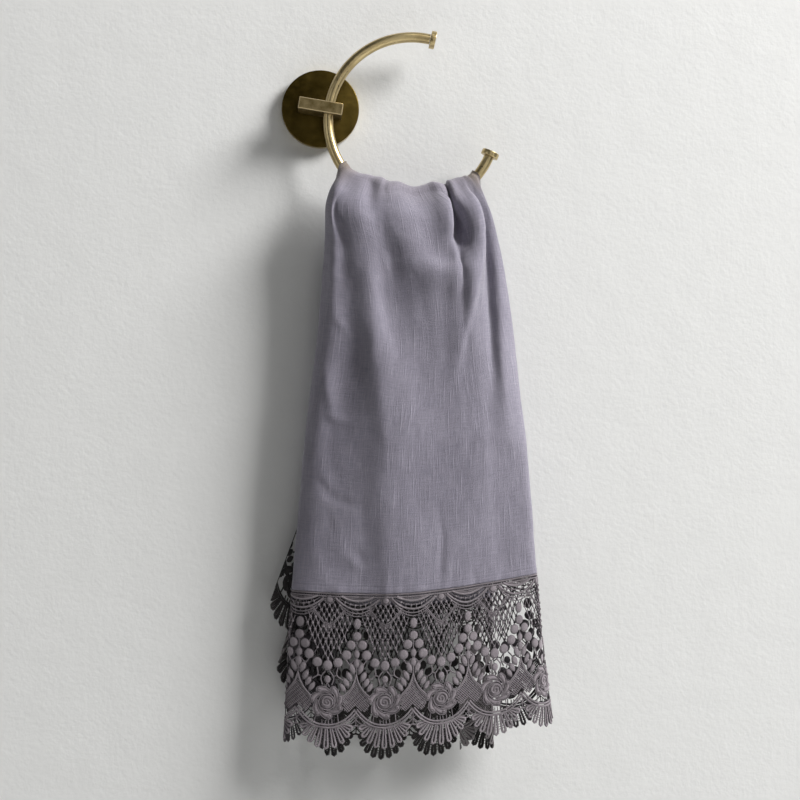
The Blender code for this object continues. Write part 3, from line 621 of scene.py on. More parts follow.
# parts of the cloth that hang closer to the wall or further out: x, z, shift towards the wall,
# reach left and right; the first two are the left side and the lower half, and also move the back
swings = [
    [(6, -90, 0, 12, 12), (2, -115, 2.2, 14, 20), (-2, -140, 4.4, 16, 26), (-4, -180, 7, 20, 30),
     (-8, -230, 8.8, 24, 38), (-12, -290, 9.5, 30, 44), (-16, -380, 10, 30, 50), (-20, -500, 10, 30, 54)],
    [(60, -150, 0, 150, 150), (60, -290, -6, 150, 150), (60, -500, -7.5, 150, 150)],
    [(152, -235, 0, 18, 20), (159, -270, -5, 20, 20), (163, -300, -6, 20, 22), (169, -345, -6.5, 24, 24),
     (177, -400, -6.5, 30, 28), (184, -500, -6.5, 36, 28)],
    # the solid's hollow beside the left edge comes forward
    [(13, -58, 0, 5, 10), (14, -72, -3.2, 5, 12), (15.5, -93, -3.2, 6, 13), (19, -115, -3.0, 8, 13),
     (23, -140, -2.8, 10, 13), (28, -170, -2.0, 11, 13), (32, -200, 0, 12, 14)],
    # below the pleat the cloth closes again
    [(106.5, -107, 0, 5, 5), (109, -117, -4.8, 7, 7), (112, -130, -5.6, 10, 7), (113, -145, -4.8, 12, 7),
     (111.5, -160, -3.4, 12, 7), (109, -178, -1.8, 12, 7), (106, -196, 0, 12, 7)],
    # the front is level as far as the tuck, then the flap behind it
    [(122.5, -92, 0, 5, 2), (124, -108, -2, 7, 2), (125, -130, -3, 8, 2.5), (126, -155, -3.5, 9, 3),
     (127, -180, -3.5, 10, 3), (128, -205, -2.5, 10, 4), (129, -228, -1, 10, 5), (129.5, -245, 0, 12, 6)],
    [(118, -68, 0.8, 2, 3), (124.5, -84, 1.5, 2, 3), (126.5, -100, 1.5, 2, 3.5), (128.3, -130, 1.5, 2, 4),
     (129.8, -165, 1.5, 2.4, 5), (131, -200, 1.2, 3.5, 6), (132, -240, 0, 5, 8)],
    [(128, -84, 0, 5, 10), (132, -98, -2.5, 5.5, 12), (135, -112, -5, 6, 13), (137, -130, -7, 6.2, 14),
     (138.5, -168, -8, 6.6, 15), (140, -202, -7.5, 7.5, 15), (141.5, -226, -6, 9, 15),
     (144, -255, -2.5, 12, 15), (146, -275, 0, 14, 15)],
    # level front under the ring, and the hollow below the bulge
    [(52, -66, 0, 9, 14), (52, -78, -3.0, 9, 16), (54, -92, -4.0, 10, 18), (58, -106, -3.5, 10, 18),
     (64, -118, -1.5, 10, 14), (70, -126, 0, 10, 12)],
    [(52, -122, 0, 10, 16), (52, -138, 2.4, 10, 18), (51, -158, 3.2, 9, 18), (53, -178, 2.6, 9, 18),
     (57, -202, 0, 11, 18)],
    # step up on the left
    [(24, -86, 0, 5, 12), (26, -98, -1.0, 5, 12), (29, -114, -1.5, 5.5, 13), (31.5, -132, -1.5, 6, 14),
     (35, -152, -1.0, 6, 14), (39, -170, 0, 7, 14)],
]
# the edge of the left hump leans over the pleat: x, z, how far it leans
pleatLean = [(93, -60, 1.5, 4, 2), (95.5, -70, 2.6, 5, 2.2), (97.5, -84, 2.8, 5, 2.2),
             (99, -95, 1.6, 5, 2.5), (101, -104, 0, 5, 3)]
# small waves beside the seam: x, width, height, how far up they reach
seamPuckers = [(50.5, 2.2, 0.5, 17), (59.8, 2.0, 0.45, 15), (63.0, 1.6, -0.5, 14),
               (100.5, 2.0, -0.5, 18), (14, 3.0, 0.5, 12), (30, 2.6, -0.45, 12),
               (76, 3.0, 0.4, 12), (118, 3.0, -0.4, 14), (134, 2.5, 0.4, 12)]


def creaseLift(middle, crease):
    # height of one crease on the cloth
    x, z = middle[:, :, 0], middle[:, :, 2]
    best = np.zeros_like(x)
    for (x0, z0, high0, *wide0), (x1, z1, high1, *wide1) in zip(crease, crease[1:]):
        runX, runZ = x1 - x0, z1 - z0
        t = np.clip(((x - x0) * runX + (z - z0) * runZ) / (runX * runX + runZ * runZ), 0, 1)
        offX, offZ = x - x0 - t * runX, z - z0 - t * runZ
        part = (runX * offZ - runZ * offX > 0).astype(int)
        reach = np.array(wide0)[part] * (1 - t) + np.array(wide1)[part] * t
        lift = (high0 + (high1 - high0) * t) * np.exp(-(offX ** 2 + offZ ** 2) / reach ** 2)
        best = np.where(np.abs(lift) > np.abs(best), lift, best)
    return best


def softNoise(across, drop, wide, tall, seed):
    # smooth random waves over the flat cloth
    draw = np.random.default_rng(seed)
    grid = draw.uniform(-1, 1, (int(460 / tall) + 4, int(340 / wide) + 4))
    rows, columns = drop / tall + 1, across / wide + 1
    r0, c0 = np.floor(rows).astype(int), np.floor(columns).astype(int)
    fr, fc = rows - r0, columns - c0
    fr, fc = fr * fr * (3 - 2 * fr), fc * fc * (3 - 2 * fc)
    top = grid[r0][:, c0] * (1 - fc) + grid[r0][:, c0 + 1] * fc
    low = grid[r0 + 1][:, c0] * (1 - fc) + grid[r0 + 1][:, c0 + 1] * fc
    return top * (1 - fr)[:, None] + low * fr[:, None]


def hangSide(folds, side, values, seed):
    across = np.linspace(0, values["width"], values["acrossSteps"])
    drop = np.linspace(0, values["dropEnd"], values["dropSteps"])
    middle, ridge, turn = layCloth(folds, side, values, across, drop)
    shift = np.zeros(middle.shape[:2])
    for swing in swings if side < 0 else swings[:2]:
        shift += creaseLift(middle, swing)
    middle[:, :, 1] += shift * (1.0 if side < 0 else values["backShare"])
    normal = clothNormals(middle, side, ridge, turn, values, drop)
    lift = sum(high * softNoise(across, drop, wide, tall, seed + k)
               for k, (high, wide, tall) in enumerate(values["waves"]))
    dents = sum(high * np.abs(softNoise(across, drop, wide, tall, seed + 4 + k))
                for k, (high, wide, tall) in enumerate(values["dents"]))
    left = np.exp(-((middle[:, :, 0] - values["dentPlace"]) / values["dentReach"]) ** 2)
    least, more = values["dentDepth"]
    lift -= dents * (least + more * left)
    lift *= np.clip((drop - values["calm"]) / values["calmReach"], 0, 1)[:, None]
    seam = values["linen"]
    for place, width, height, tall in seamPuckers:
        wave = np.exp(-((middle[:, :, 0] - place) / width) ** 2)
        fade = np.where(drop < seam, np.exp(-((drop - seam) / tall) ** 2),
                        np.clip(1 - (drop - seam) / values["puckerFade"], 0, 1))
        lift += wave * fade[:, None] * height * (1 if side < 0 else values["backPuckers"])
    if side < 0:
        for crease in frontCreases:
            lift += creaseLift(middle, crease)
    else:
        stops, heights = zip(*values["gathers"])
        most, wide, tall = values["gatherLean"]
        lean = most * softNoise(across, drop, wide, tall, seed + 3)
        lift += (np.interp(drop, stops, heights)[:, None]
                 * np.clip((values["gatherEnd"] - across) / values["gatherFade"], 0, 1)
                 * np.sin((across[None, :] + lean) * 2 * math.pi / values["gatherWidth"]))
    middle = middle + normal * lift[..., None]
    if side < 0:
        middle[:, :, 0] += creaseLift(middle, pleatLean)
    settled = unit(np.cross(np.gradient(middle, axis=1), np.gradient(middle, axis=0))) * side
    spread = np.clip((drop - values["archLength"]) / values["settle"], 0, 1)[:, None, None]
    return middle, unit(normal * (1 - spread) + settled * spread)


hung = {-1: hangSide(frontFolds, -1, towel, 5), 1: hangSide(backFolds, 1, towel, 23)}


def onCloth(side, across, drop, lift):
    # world places, in metres, of points given on the flat cloth in millimetres
    middle, normal = hung[side]
    lastColumn, lastRow = towel["acrossSteps"] - 1, towel["dropSteps"] - 1
    column = np.clip(across / towel["width"] * lastColumn, 0, lastColumn - 0.001)
    row = np.clip(drop / towel["dropEnd"] * lastRow, 0, lastRow - 0.001)
    c0, r0 = column.astype(int), row.astype(int)
    fc, fr = (column - c0)[:, None], (row - r0)[:, None]

    def blend(field):
        return ((field[r0, c0] * (1 - fc) + field[r0, c0 + 1] * fc) * (1 - fr)
                + (field[r0 + 1, c0] * (1 - fc) + field[r0 + 1, c0 + 1] * fc) * fr)

    return (blend(middle) + unit(blend(normal)) * np.array(lift)[:, None]) * mm


print("folds laid")


# linen

panel = {
    "columns": 156, "rows": 296, "thickness": 0.7, "pleat": 203.0,
    "sideHem": 5.0, "endHem": 6.0, "hemLift": 0.32, "stitch": 0.25, "paintedBrassShowThrough": 17.0,
    # painted show-through: beside the ends of the rod the cloth's colour is tinted towards the brass under
    # it, standing in for light through the thin cloth
    "tintReach": 90, "tintFade": 45, "tint": (0.12, 0.75),
    "sideRows": (0, 0.8, 2.6, 3.7, 4.2, 5.0, 5.8), "endRows": (0, 0.8, 2.4, 4.2, 4.9, 5.4, 6.2, 7.0),
}


def spacedOut(length, edges, count, close=0.0):
    # places from 0 to length, closer together in the hems and round one place
    fine = np.linspace(edges[-1], length - edges[-1], 2000)
    share = np.cumsum(1 + (1.8 * np.exp(-((fine - close) / 11) ** 2) if close else 0 * fine))
    share = (share - share[0]) / (share[-1] - share[0])
    middle = np.interp(np.linspace(0, 1, count - 2 * len(edges) + 2), share, fine)
    return np.concatenate((edges[:-1], middle, length - np.array(edges[:-1])[::-1]))


def hemLift(inset, width, values):
    # raised band along an edge, with a groove where it is stitched
    band = values["hemLift"] * np.clip((width - inset) / 0.8 + 0.5, 0, 1)
    groove = values["stitch"] * np.exp(-((inset - width + 1.1) / 0.5) ** 2)
    return band - groove


def makeLinen(values):
    columns = spacedOut(towel["width"], values["sideRows"], values["columns"], values["pleat"])
    rows = spacedOut(2 * towel["linen"], values["endRows"], values["rows"]) - towel["linen"]
    bm = bmesh.new()
    bmesh.ops.create_grid(bm, x_segments=len(columns) - 1, y_segments=len(rows) - 1, size=1.0)
    flat = np.array([v.co for v in bm.verts])
    across = columns[np.rint((flat[:, 0] + 1) / 2 * (len(columns) - 1)).astype(int)]
    signed = rows[np.rint((1 - flat[:, 1]) / 2 * (len(rows) - 1)).astype(int)]
    drop = np.abs(signed)
    inset = np.minimum(across, towel["width"] - across)
    lift = np.maximum(hemLift(inset, values["sideHem"], values),
                      hemLift(towel["linen"] - drop, values["endHem"], values))
    front = signed >= 0
    places = np.where(front[:, None], onCloth(-1, across, drop, lift), onCloth(1, across, drop, lift))
    bm.verts.index_update()
    layer = bm.loops.layers.uv.new("cloth")
    for face in bm.faces:
        for loop in face.loops:
            k = loop.vert.index
            loop[layer].uv = (across[k] * mm, signed[k] * mm)
    brassShowThrough = bm.verts.layers.float.new("paintedBrassShowThrough")
    edges = np.clip((values["tintReach"] - inset) / values["tintFade"], 0, 1)
    close = np.clip(1.25 - drop / values["paintedBrassShowThrough"], 0, 1)
    least, more = values["tint"]
    for k, v in enumerate(bm.verts):
        v.co = places[k]
        v[brassShowThrough] = float(close[k] * (least + more * edges[k]))
    linen = finishPiece("linenPanel", bm, linenCloth)
    linen.data.shade_smooth()
    body = linen.modifiers.new("thickness", "SOLIDIFY")
    body.thickness = values["thickness"] * mm
    body.offset = 0.0
    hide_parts("linen_towel")


makeLinen(panel)
print("linen made")


# lace

lace = {
    "repeat": 44.5, "frontFirst": 42.0, "backFirst": 16.0, "half": 22.25,
    "netPitch": 2.05, "thin": 0.40,
    # the cut ends: where the pattern stops, and the cord down each end
    "cutAt": 0.5, "reach": 60, "endAt": 0.6, "endWidth": 0.8, "endLength": 100.0, "endMiddle": 50.4,
    "endHeight": 0.9,
}
# knots of the open net: depth below the seam, and steps of its pitch either side of the swirl
netInside = [(9.8, (0, 2, 4)), (13.6, (1, 3)), (17.4, (0, 2)), (21.0, (1,))]
netOpen = [(19.4, (5, 7)), (24.0, (4, 6, 8)), (28.7, (1, 3, 5, 7)), (33.4, (0, 2, 4, 6)),
           (38.0, (1, 3, 5)), (42.6, (0, 2, 4)), (47.0, (1,)), (50.6, (0,))]
# beads and leaves: across, depth, half width, half height, lean in degrees
beads = [(0, 5.8, 3.0, 2.6, 0), (22.25, 23.8, 3.1, 4.25, 0), (22.25, 33.4, 3.65, 3.65, 0),
         (17.75, 40.1, 3.8, 3.8, 0), (14.45, 47.9, 3.95, 3.95, 0), (7.9, 53.8, 3.85, 3.85, 0),
         (0, 56.1, 3.8, 4.25, 0), (0, 66.7, 2.65, 3.1, 0)]
leaves = [(22.25, 47.0, 2.4, 3.4, 0), (22.25, 54.0, 2.4, 3.7, 0), (19.05, 58.2, 2.3, 4.3, 20),
          (16.75, 64.3, 2.25, 4.0, 26), (14.45, 69.0, 2.15, 3.9, 30), (11.75, 72.9, 2.0, 3.7, 34)]
veeCord = [(-13.5, 11.2), (-9, 16.6), (-5.5, 20.6), (-2.2, 23.6), (0, 24.4)]
petals = (-19, 25, 80, 127, 188, 238, 295)


def curveThrough(points, step=1.5):
    # evenly spaced places along a smooth curve through the points
    points = np.array(points, float)
    runs = np.linalg.norm(np.diff(points, axis=0), axis=1)
    if len(points) == 2:
        return points
    knots = np.concatenate(([0], np.cumsum(runs)))
    count = max(3, int(round(knots[-1] / step)) + 1)
    return smoothRows(knots, points, np.linspace(0, knots[-1], count))


class Tile:
    # collects the cords, beads and leaves of one repeat, flat, in millimetres
    def __init__(self):
        self.cords = {"thin": [], "round": [], "flat": []}
        self.domes = []

    def cord(self, points, radius, kind="round", smooth=True, mirror=None, closed=False, lift=0.0):
        points = curveThrough(points) if smooth else np.array(points, float)
        radii = np.interp(np.linspace(0, 1, len(points)), np.linspace(0, 1, np.size(radius)),
                          np.atleast_1d(radius))
        self.cords[kind].append((points, radii, closed, lift))
        if mirror is not None:
            turned = points * (-1, 1) + (2 * mirror, 0)
            self.cords[kind].append((turned, radii, closed, lift))

    def ring(self, x, d, wide, tall, radius, lean=0, kind="round", sides=18, lift=0.0):
        turn = np.linspace(0, 2 * math.pi, sides, endpoint=False)
        c, s = math.cos(math.radians(lean)), math.sin(math.radians(lean))
        u, v = wide * np.cos(turn), tall * np.sin(turn)
        self.cord(np.stack((x + u * c - v * s, d + u * s + v * c), axis=1), radius, kind,
                  smooth=False, closed=True, lift=lift)

    def dome(self, x, d, wide, tall, high, lean=0, sides=12):
        self.domes.append((x, d, wide, tall, high, lean, sides))


def arcDepth(arc, x):
    # half width, depth at its ends, sag
    return arc[1] + arc[2] * (1 - (x / arc[0]) ** 2)


def alongBeside(places):
    ahead = unit(np.gradient(places, axis=0))
    return ahead, ahead[:, ::-1] * (-1, 1)


def addHeading(tile, half):
    # two cords under the hem, a bead over each swirl and arcs that hang between the beads
    ends = np.linspace(-half, half, 23)
    for depth, radius in ((0.9, 0.75), (3.1, 0.62)):
        tile.cord(np.stack((ends, np.full(23, depth)), axis=1), radius, smooth=False)
    for x in np.arange(-half + 0.75, half, 1.5):
        tile.cord([(x, 0.6), (x, 3.3)], 0.32, "thin")
    tile.ring(0, 5.8, 3.6, 3.2, 0.38)
    arcs = [(12.0, 2.6, 2.0, 0.45), (13.2, 2.7, 3.6, 1.05), (14.8, 4.2, 5.4, 0.42),
            (17.5, 4.0, 8.9, 0.85), (17.5, 5.6, 10.3, 0.5), (13.0, 12.0, 6.2, 0.4)]
    for arc in arcs:
        x = np.linspace(-arc[0], arc[0], 17)
        tile.cord(np.stack((x + half, arcDepth(arc, x)), axis=1), arc[3], smooth=False)
    for x in np.arange(-9, 10, 3.0):
        tile.cord([(half + x, 3.0), (half + x, arcDepth(arcs[1], x))], 0.42, "thin")
    spokes = [(1, 2, (-8, -4, 0, 4, 8), 1.06), (2, 3, (-10, -6, -2, 2, 6, 10), 1.08),
              (3, 4, (-12, -8, -4, 0, 4, 8, 12), 1.0), (4, 5, (-8, -4, 4, 8), 1.02)]
    for upper, lower, places, spread in spokes:
        for x in places:
            low = x * spread
            tile.cord([(half + x, arcDepth(arcs[upper], x)), (half + low, arcDepth(arcs[lower], low))],
                      0.38, "thin")
            if upper == 2:
                tile.dome(half + x, arcDepth(arcs[2], x), 1.05, 1.05, 0.9, sides=6)
    tile.cord(veeCord, 0.5, mirror=0)
    tile.cord([(x, d + 1.5) for x, d in veeCord], 0.42, mirror=0)
    tile.cord([(3.2, 4.4), (6.2, 6.6), (8.6, 9.4), (12.8, 12.4)], 0.45, mirror=0)


def nearSolid(point, solids, cords):
    for x, d, wide, tall, _ in solids:
        if math.hypot((point[0] - x) / (wide + 1.3), (point[1] - d) / (tall + 1.3)) < 1:
            return True
    return any(np.min(np.hypot(c[:, 0] - point[0], c[:, 1] - point[1])) < 2.4 for c in cords)


def addNet(tile, rows, solids, cords, values):
    # knots in staggered rows, tied down and sideways to the row beneath
    pitch = values["netPitch"]
    knots = [(depth, [k * pitch for k in sorted({s * k for k in steps for s in (-1, 1)})])
             for depth, steps in rows]
    for k, (depth, places) in enumerate(knots):
        above = knots[k - 1] if k else (depth - 4.4, ())
        below = knots[k + 1] if k + 1 < len(knots) else (depth + 4.4, ())
        for x in places:
            tile.dome(x, depth, 1.15, 1.15, 1.1, sides=6)
            for sideways in (-pitch, pitch):
                end = (x + sideways, below[0])
                tied = any(abs(p - end[0]) < 0.1 for p in below[1])
                if tied or nearSolid(end, solids, cords):
                    tile.cord([(x, depth), end], values["thin"], "thin")
                start = (x + sideways, above[0])
                if not any(abs(p - start[0]) < 0.1 for p in above[1]) and nearSolid(start, solids, cords):
                    tile.cord([(x, depth), start], values["thin"], "thin")


def addBunch(tile, values):
    # close knots under the point of the vee
    pitch = values["netPitch"]
    for step, d in ((0, 27.0), (2, 26.4), (-2, 26.4), (0, 31.0), (1, 35.6), (-1, 35.6)):
        tile.dome(step * pitch, d, 1.0, 1.0, 1.0, sides=6)
    for step, top, end, low in ((0, 24.8, 0, 33.4), (1, 24.4, 1, 28.7), (2, 22.4, 2, 26.4),
                                (0.5, 24.6, 0.5, 27.4), (2, 26.4, 1, 28.7), (2, 26.4, 3, 28.7)):
        tile.cord([(step * pitch, top), (end * pitch, low)], values["thin"], "thin",
                  mirror=0 if step else None)


def mirrored(things):
    both = []
    for thing in things:
        both.append(thing)
        if 0 < thing[0] < 22:
            both.append((-thing[0], *thing[1:-1], -thing[-1]))
    return both


def addGarland(tile, half):
    for x, d, wide, tall, lean in mirrored(beads):
        tile.dome(x, d, wide, tall, 0.6, lean, sides=14)
    for x, d, wide, tall, lean in mirrored([(x, d, w, t, -n) for x, d, w, t, n in leaves]):
        tile.dome(x, d, wide, tall, 0.6, lean, sides=8)
        c, s = math.cos(math.radians(lean)), math.sin(math.radians(lean))
        for part in (-1, 1):
            rib = [(0, -tall - 0.5), (part * wide * 0.9, -tall * 0.2), (part * wide * 0.7, tall * 0.5),
                   (0, tall + 0.3)]
            tile.cord([(x + u * c - v * s, d + u * s + v * c) for u, v in rib], 0.34, "thin")
        tile.cord([(x + tall * 0.8 * s, d - tall * 0.8 * c), (x - tall * s, d + tall * c)], 0.34, "thin")
    for stalk, radius, mirror in (
            ([(-1.5, 60.2), (-4.9, 65.5), (-3.5, 71)], 0.48, 0),
            ([(-7.9, 57.6), (-7.3, 63.5), (-11.6, 66.8)], 0.48, 0), ([(-7.3, 63.5), (-4.3, 64.4)], 0.48, 0),
            ([(0, 69.4), (-1.6, 72.6)], 0.45, 0), ([(-14.3, 51.6), (-17.2, 55.6)], 0.45, 0),
            ([(half, 36.6), (half, 45.0)], 0.36, None), ([(half, 49.5), (half, 64.0)], 0.45, None),
            ([(half - 1.5, 51.2), (half - 4.6, 54.6)], 0.4, half)):
        tile.cord(stalk, radius, mirror=mirror)


def insidePolygon(polygon, x, d):
    inside = False
    for (x0, d0), (x1, d1) in zip(polygon, polygon[1:] + polygon[:1]):
        if (d0 > d) != (d1 > d) and x0 + (x1 - x0) * (d - d0) / (d1 - d0) > x:
            inside = not inside
    return inside


def addSpandrel(tile, half):
    # solid ground between two swirls, worked in slanting ribs
    right = [(1.9, 69.5), (4.8, 74.3), (8.6, 78.2), (11.2, 80.6), (10.6, 86), (9.0, 90.6), (6.2, 92.0)]
    polygon = [(0, 63.5)] + right + [(0, 87.6)] + [(-x, d) for x, d in reversed(right)]
    for slope, gap, radius in ((1, 1.35, (0.62, 0.46)), (-1, 2.7, (0.58, 0.42))):
        for offset in np.arange(-30, 30, gap):
            run = []
            for step in np.arange(-24, 24, 1.1):
                x, d = step * 0.707 + offset * 0.707, 78 + slope * (step - offset) * 0.707
                if insidePolygon(polygon, x, d):
                    run.append((half + x, d))
                if run and (not insidePolygon(polygon, x, d) or step > 22):
                    if len(run) > 1:
                        beat = np.where(np.arange(len(run)) % 2, *radius)
                        tile.cord(run, beat, "thin", smooth=False)
                    run = []
    for inner in (0, 1.5):
        side = [(0.2, 62.2), (-1.9, 69.2), (-4.8, 74.1), (-10.4, 80.0)]
        tile.cord([(half + x, d + inner) for x, d in side], 0.5 if inner else 0.6, mirror=half,
                  lift=0.25)


def addSwirl(tile, centre, heads):
    # a spiral on a disc, and comma-shaped petals round it
    turn = np.linspace(0, 1.7 * 2 * math.pi, 34)
    radius = np.linspace(0.5, 4.6, 34)
    spiral = np.stack((centre[0] + radius * np.cos(turn + 2.2), centre[1] + radius * np.sin(turn + 2.2)),
                      axis=1)
    tile.cord(spiral, np.linspace(0.7, 0.95, 34), smooth=False, lift=0.3)
    tile.dome(*centre, 5.6, 5.6, 0.5, sides=16)
    tile.ring(*centre, 6.0, 6.0, 0.5, kind="thin", sides=26, lift=0.3)
    for head in heads:
        angles = np.radians(head + np.array((0, 13, 27, 41, 54, 66)))
        reach = np.array((10.9, 10.4, 9.4, 8.3, 7.5, 7.0))
        body = np.stack((centre[0] + reach * np.cos(angles), centre[1] + reach * np.sin(angles)), axis=1)
        wide = np.array((1.95, 1.9, 1.5, 1.05, 0.6, 0.3))
        tile.cord(body, wide, "flat", smooth=False)
        tile.dome(*body[0], 2.0, 2.0, 0.85, sides=10)
        ahead, beside = alongBeside(body)
        offset = beside * (wide[:, None] + 0.35)
        cap = [body[0] - 2.3 * (ahead[0] * math.sin(t) - beside[0] * math.cos(t))
               for t in np.radians((25, 57, 90, 123, 155))]
        tile.cord(np.array(list((body + offset)[::-1]) + cap + list(body - offset)), 0.40, "thin",
                  smooth=False, lift=0.3)
        tile.ring(*body[0], 0.8, 0.8, 0.34, kind="thin", sides=8, lift=0.85)


def addScallop(tile, half):
    # two cords along the curved foot of the repeat, with small bars above
    x = np.linspace(-half, half, 33)
    edge = np.stack((x, 90.0 + 12.7 * (1 - np.abs(x / half) ** 2.4)), axis=1)
    beside = alongBeside(edge)[1]
    tile.cord(edge + beside * 1.05, 0.92, smooth=False)
    tile.cord(edge - beside * 1.05, 0.82, smooth=False)
    for bar in ([(-8.2, 93.0), (-9, 99.6)], [(8.2, 92.8), (9, 99.6)], [(-3.4, 97.6), (-3.2, 101.4)],
                [(1.2, 98), (1.6, 101.6)], [(3.9, 97.2), (4.3, 101.2)], [(-0.8, 98), (-0.8, 101.6)]):
        tile.cord(bar, 0.42, "thin")
    tile.cord([(half, 92.5), (half, 97.3)], 0.45)
    tile.cord([(half, 97.0), (half - 4.2, 93.9)], 0.42, mirror=half)
    tile.cord([(half, 97.3), (half - 3.6, 100.6), (half - 8, 101.3)], 0.42, mirror=half)
    tile.cord([(half, 97.3), (half, 101.6)], 0.42)


def addFan(tile):
    # fingers with a slit down each, and small bars between them
    roots = ((0, 103.6), (3.5, 103.5), (6.9, 103.0), (10.0, 102.2), (12.4, 101.4))
    axes = []
    for finger in range(-4, 5):
        x, d = roots[abs(finger)]
        root = np.array((math.copysign(x, finger) if finger else 0.0, d))
        turn = math.radians(19.5 * finger)
        tip = np.array((20.2 * math.sin(turn), 100 + 20.2 * math.cos(turn)))
        ahead = unit(tip - root)
        beside = np.array((-ahead[1], ahead[0]))
        axes.append((root, tip))
        end = tip - ahead * 0.6
        loop = [(0.0, 0.6), (0.4, 0.95), (0.82, 1.4), (0.94, 1.2)]
        stops = [root + (end - root) * part + beside * wide for part, wide in loop] + [end]
        stops += [root + (end - root) * part - beside * wide for part, wide in reversed(loop)]
        tile.cord(stops, (0.7, 0.95, 1.12, 1.12, 0.95, 0.7), smooth=False)
    for (root, tip), (nextRoot, nextTip) in zip(axes, axes[1:]):
        for part in (0.2, 0.36, 0.5, 0.62, 0.74):
            tile.cord([root + (tip - root) * part, nextRoot + (nextTip - nextRoot) * part], 0.26, "thin",
                      smooth=False)
    tile.cord([(17.3, 104.0), (22.25, 102.0), (27.2, 104.0)], 0.55)


def tubes(cords, sides, scale):
    # the cords as one curve with a round bevel, turned into mesh
    data = bpy.data.curves.new("cords", "CURVE")
    data.dimensions = "3D"
    data.twist_mode = "Z_UP"
    data.bevel_depth = 1.0
    data.bevel_resolution = (sides - 4) // 2
    data.use_fill_caps = True
    for points, radii, closed, lift in cords:
        spline = data.splines.new("POLY")
        spline.points.add(len(points) - 1)
        for point, (x, d), radius in zip(spline.points, points, radii):
            point.co = (x, d, lift, 1)
            point.radius = radius * scale
        spline.use_cyclic_u = closed
    holder = bpy.data.objects.new("cords", data)
    bpy.context.collection.objects.link(holder)
    mesh = bpy.data.meshes.new_from_object(holder.evaluated_get(bpy.context.evaluated_depsgraph_get()))
    bpy.data.objects.remove(holder)
    bpy.data.curves.remove(data)
    return mesh


def tileMesh(tile, scale):
    bm = bmesh.new()
    for kind, sides, flatten in (("thin", 4, 1.0), ("round", 6, 1.0), ("flat", 8, 0.42)):
        mesh = tubes(tile.cords[kind], sides, scale)
        start = len(bm.verts)
        bm.from_mesh(mesh)
        bpy.data.meshes.remove(mesh)
        bm.verts.ensure_lookup_table()
        for v in bm.verts[start:]:
            v.co.z *= flatten
    for x, d, wide, tall, high, lean, sides in tile.domes:
        dome = bmesh.ops.create_uvsphere(bm, u_segments=sides, v_segments=4 if sides < 8 else 6,
                                         radius=1.0)["verts"]
        for v in dome:
            v.co.z = math.copysign(math.sqrt(max(1 - (1 - v.co.z ** 2) ** 2, 0)), v.co.z)
        bmesh.ops.scale(bm, verts=dome, vec=(wide, tall, high))
        bmesh.ops.rotate(bm, verts=dome, cent=(0, 0, 0), matrix=Matrix.Rotation(math.radians(lean), 3, "Z"))
        bmesh.ops.translate(bm, verts=dome, vec=(x, d, 0))
    mesh = bpy.data.meshes.new("laceRepeat")
    bm.to_mesh(mesh)
    bm.free()
    return mesh


def makeTile(values, scale):
    tile = Tile()
    half = values["half"]
    addHeading(tile, half)
    vee = curveThrough(veeCord)
    vees = [vee, vee * (-1, 1)]
    x = np.linspace(-13, 13, 27)
    arcs = [np.stack((x + side, 12.0 + 5.5 * (1 - (x / 13) ** 2)), axis=1) for side in (half, -half)]
    solids = mirrored(beads)
    addNet(tile, netInside, solids[:1], vees, values)
    addNet(tile, netOpen, solids + [(-half, *bead[1:]) for bead in beads if bead[0] == half],
           vees + arcs, values)
    addBunch(tile, values)
    addGarland(tile, half)
    addSpandrel(tile, half)
    addSwirl(tile, (0, 84.2), petals)
    addScallop(tile, half)
    addFan(tile)
    return tileMesh(tile, scale)


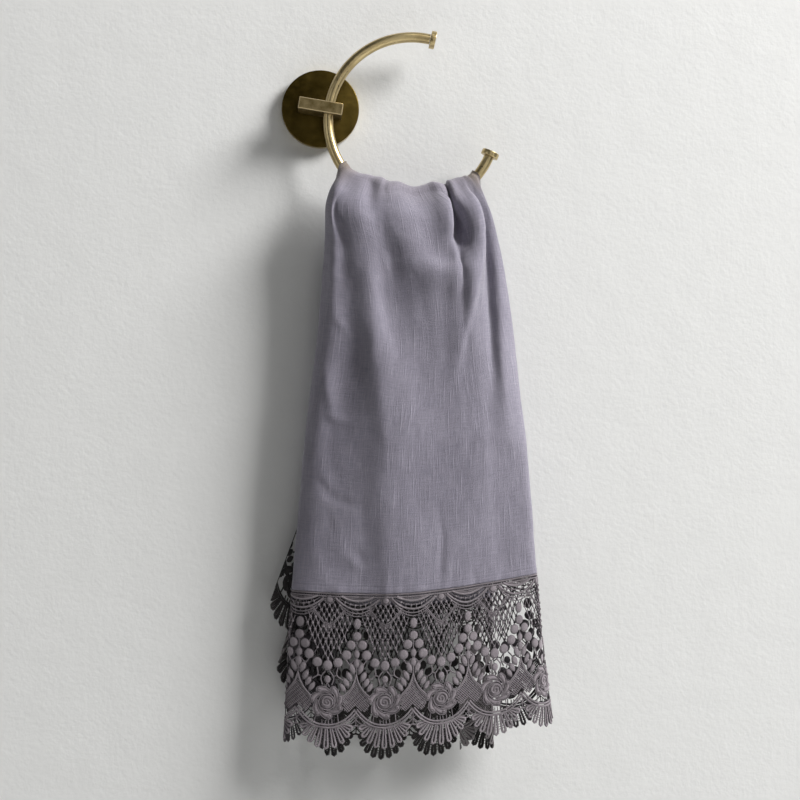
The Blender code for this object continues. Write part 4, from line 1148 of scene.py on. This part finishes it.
def makeLace(name, node, side, first, tile, thread, values):
    bm = bmesh.new()
    repeat = values["repeat"]
    for k in range(-1, int(towel["width"] / repeat) + 2):
        start = len(bm.verts)
        bm.from_mesh(tile)
        bm.verts.ensure_lookup_table()
        bmesh.ops.translate(bm, verts=bm.verts[start:], vec=(first + repeat * k, 0, 0))
    for end, outward in ((values["cutAt"], -1), (towel["width"] - values["cutAt"], 1)):
        gone = [v for v in bm.verts if (v.co.x - end) * outward > values["reach"]]
        bmesh.ops.delete(bm, geom=gone, context="VERTS")
        cut = bmesh.ops.bisect_plane(bm, geom=bm.verts[:] + bm.edges[:] + bm.faces[:], plane_co=(end, 0, 0),
                                     plane_no=(outward, 0, 0), clear_outer=True)
        rims = [e for e in cut["geom_cut"] if isinstance(e, bmesh.types.BMEdge)]
        bmesh.ops.holes_fill(bm, edges=rims, sides=0)
    for end in (values["endAt"], towel["width"] - values["endAt"]):
        post = bmesh.ops.create_grid(bm, x_segments=1, y_segments=60, size=0.5)["verts"]
        bmesh.ops.scale(bm, verts=post, vec=(values["endWidth"], values["endLength"], 1.0))
        bmesh.ops.translate(bm, verts=post, vec=(end, values["endMiddle"], 0))
        lifted = bmesh.ops.extrude_face_region(bm, geom=list({f for v in post for f in v.link_faces}))
        bmesh.ops.translate(bm, verts=[v for v in lifted["geom"] if isinstance(v, bmesh.types.BMVert)],
                            vec=(0, 0, values["endHeight"]))
    flat = np.array([v.co for v in bm.verts])
    bm.normal_update()
    # painted shade: the colour is darkened on the sides of the cords and on their low parts, so only the
    # tops keep the full tone
    paintedCrestShade = np.clip([v.normal.z for v in bm.verts], 0, 1) ** 1.4
    paintedCrestShade = paintedCrestShade * np.interp(flat[:, 2], (0.2, 1.0), (0.72, 1.0))
    places = onCloth(side, flat[:, 0], towel["linen"] + flat[:, 1], flat[:, 2])
    paintedCordShade = bm.verts.layers.float.new("paintedCordShade")
    for k, v in enumerate(bm.verts):
        v[paintedCordShade] = float(paintedCrestShade[k])
        v.co = places[k]
    piece = finishPiece(name, bm, thread, 60)
    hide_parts(node)
    print(name, sum(len(f.vertices) - 2 for f in piece.data.polygons))


for name, node, side, first, thread, scale in (
        ("frontLace", "front_lace", -1, lace["frontFirst"], laceThread, 1.0),
        ("backLace", "back_lace", 1, lace["backFirst"], paintedShadeThread, 1.3)):
    laceTile = makeTile(lace, scale)
    makeLace(name, node, side, first, laceTile, thread, lace)
    bpy.data.meshes.remove(laceTile)


# wall and floor

room = {
    # turn about x, place and half size; the wall stands just behind the rosette
    "wall": (math.pi / 2, (0, 0.0006, -0.1), 3.0),
    "floor": (0.0, (0, -1.0, -1.6), 3.0),
    "grain": 260.0, "patches": 38.0, "bump": 0.0004,
    "dark": (0.74, 0.745, 0.74, 1), "light": (0.77, 0.775, 0.77, 1),
}


def makeStage(values):
    plaster, tree, shader = newMaterial("whitePlaster")
    place = addNode(tree, "TexCoord").outputs["Object"]
    grain = addNode(tree, "TexNoise", Vector=place, Scale=values["grain"], Detail=5.0, Roughness=0.6)
    wide = addNode(tree, "TexNoise", Vector=place, Scale=values["patches"], Detail=3.0)
    both = plus(tree, grain.outputs[0], times(tree, wide.outputs[0], 2.0))
    bump = addNode(tree, "Bump", Height=both, Distance=values["bump"], Strength=0.5)
    tone = mixColour(tree, wide.outputs[0], values["dark"], values["light"])
    plug(tree, shader, {"Base Color": tone, "Normal": bump.outputs[0], "Roughness": 0.9})
    # seen through from behind, and clear to shadow rays
    back = maths(tree, "MAXIMUM", addNode(tree, "NewGeometry").outputs["Backfacing"],
                 addNode(tree, "LightPath").outputs["Is Shadow Ray"])
    clear = addNode(tree, "BsdfTransparent")
    mix = addNode(tree, "MixShader", i0=back, i1=shader.outputs[0], i2=clear.outputs[0])
    plug(tree, tree.nodes["Material Output"], {"Surface": mix.outputs[0]})
    for name in ("wall", "floor"):
        turn, place, size = values[name]
        bm = bmesh.new()
        bmesh.ops.create_grid(bm, x_segments=1, y_segments=1, size=size)
        surface = toObject(name, bm, plaster)
        surface.rotation_euler = (turn, 0, 0)
        surface.location = place


makeStage(room)
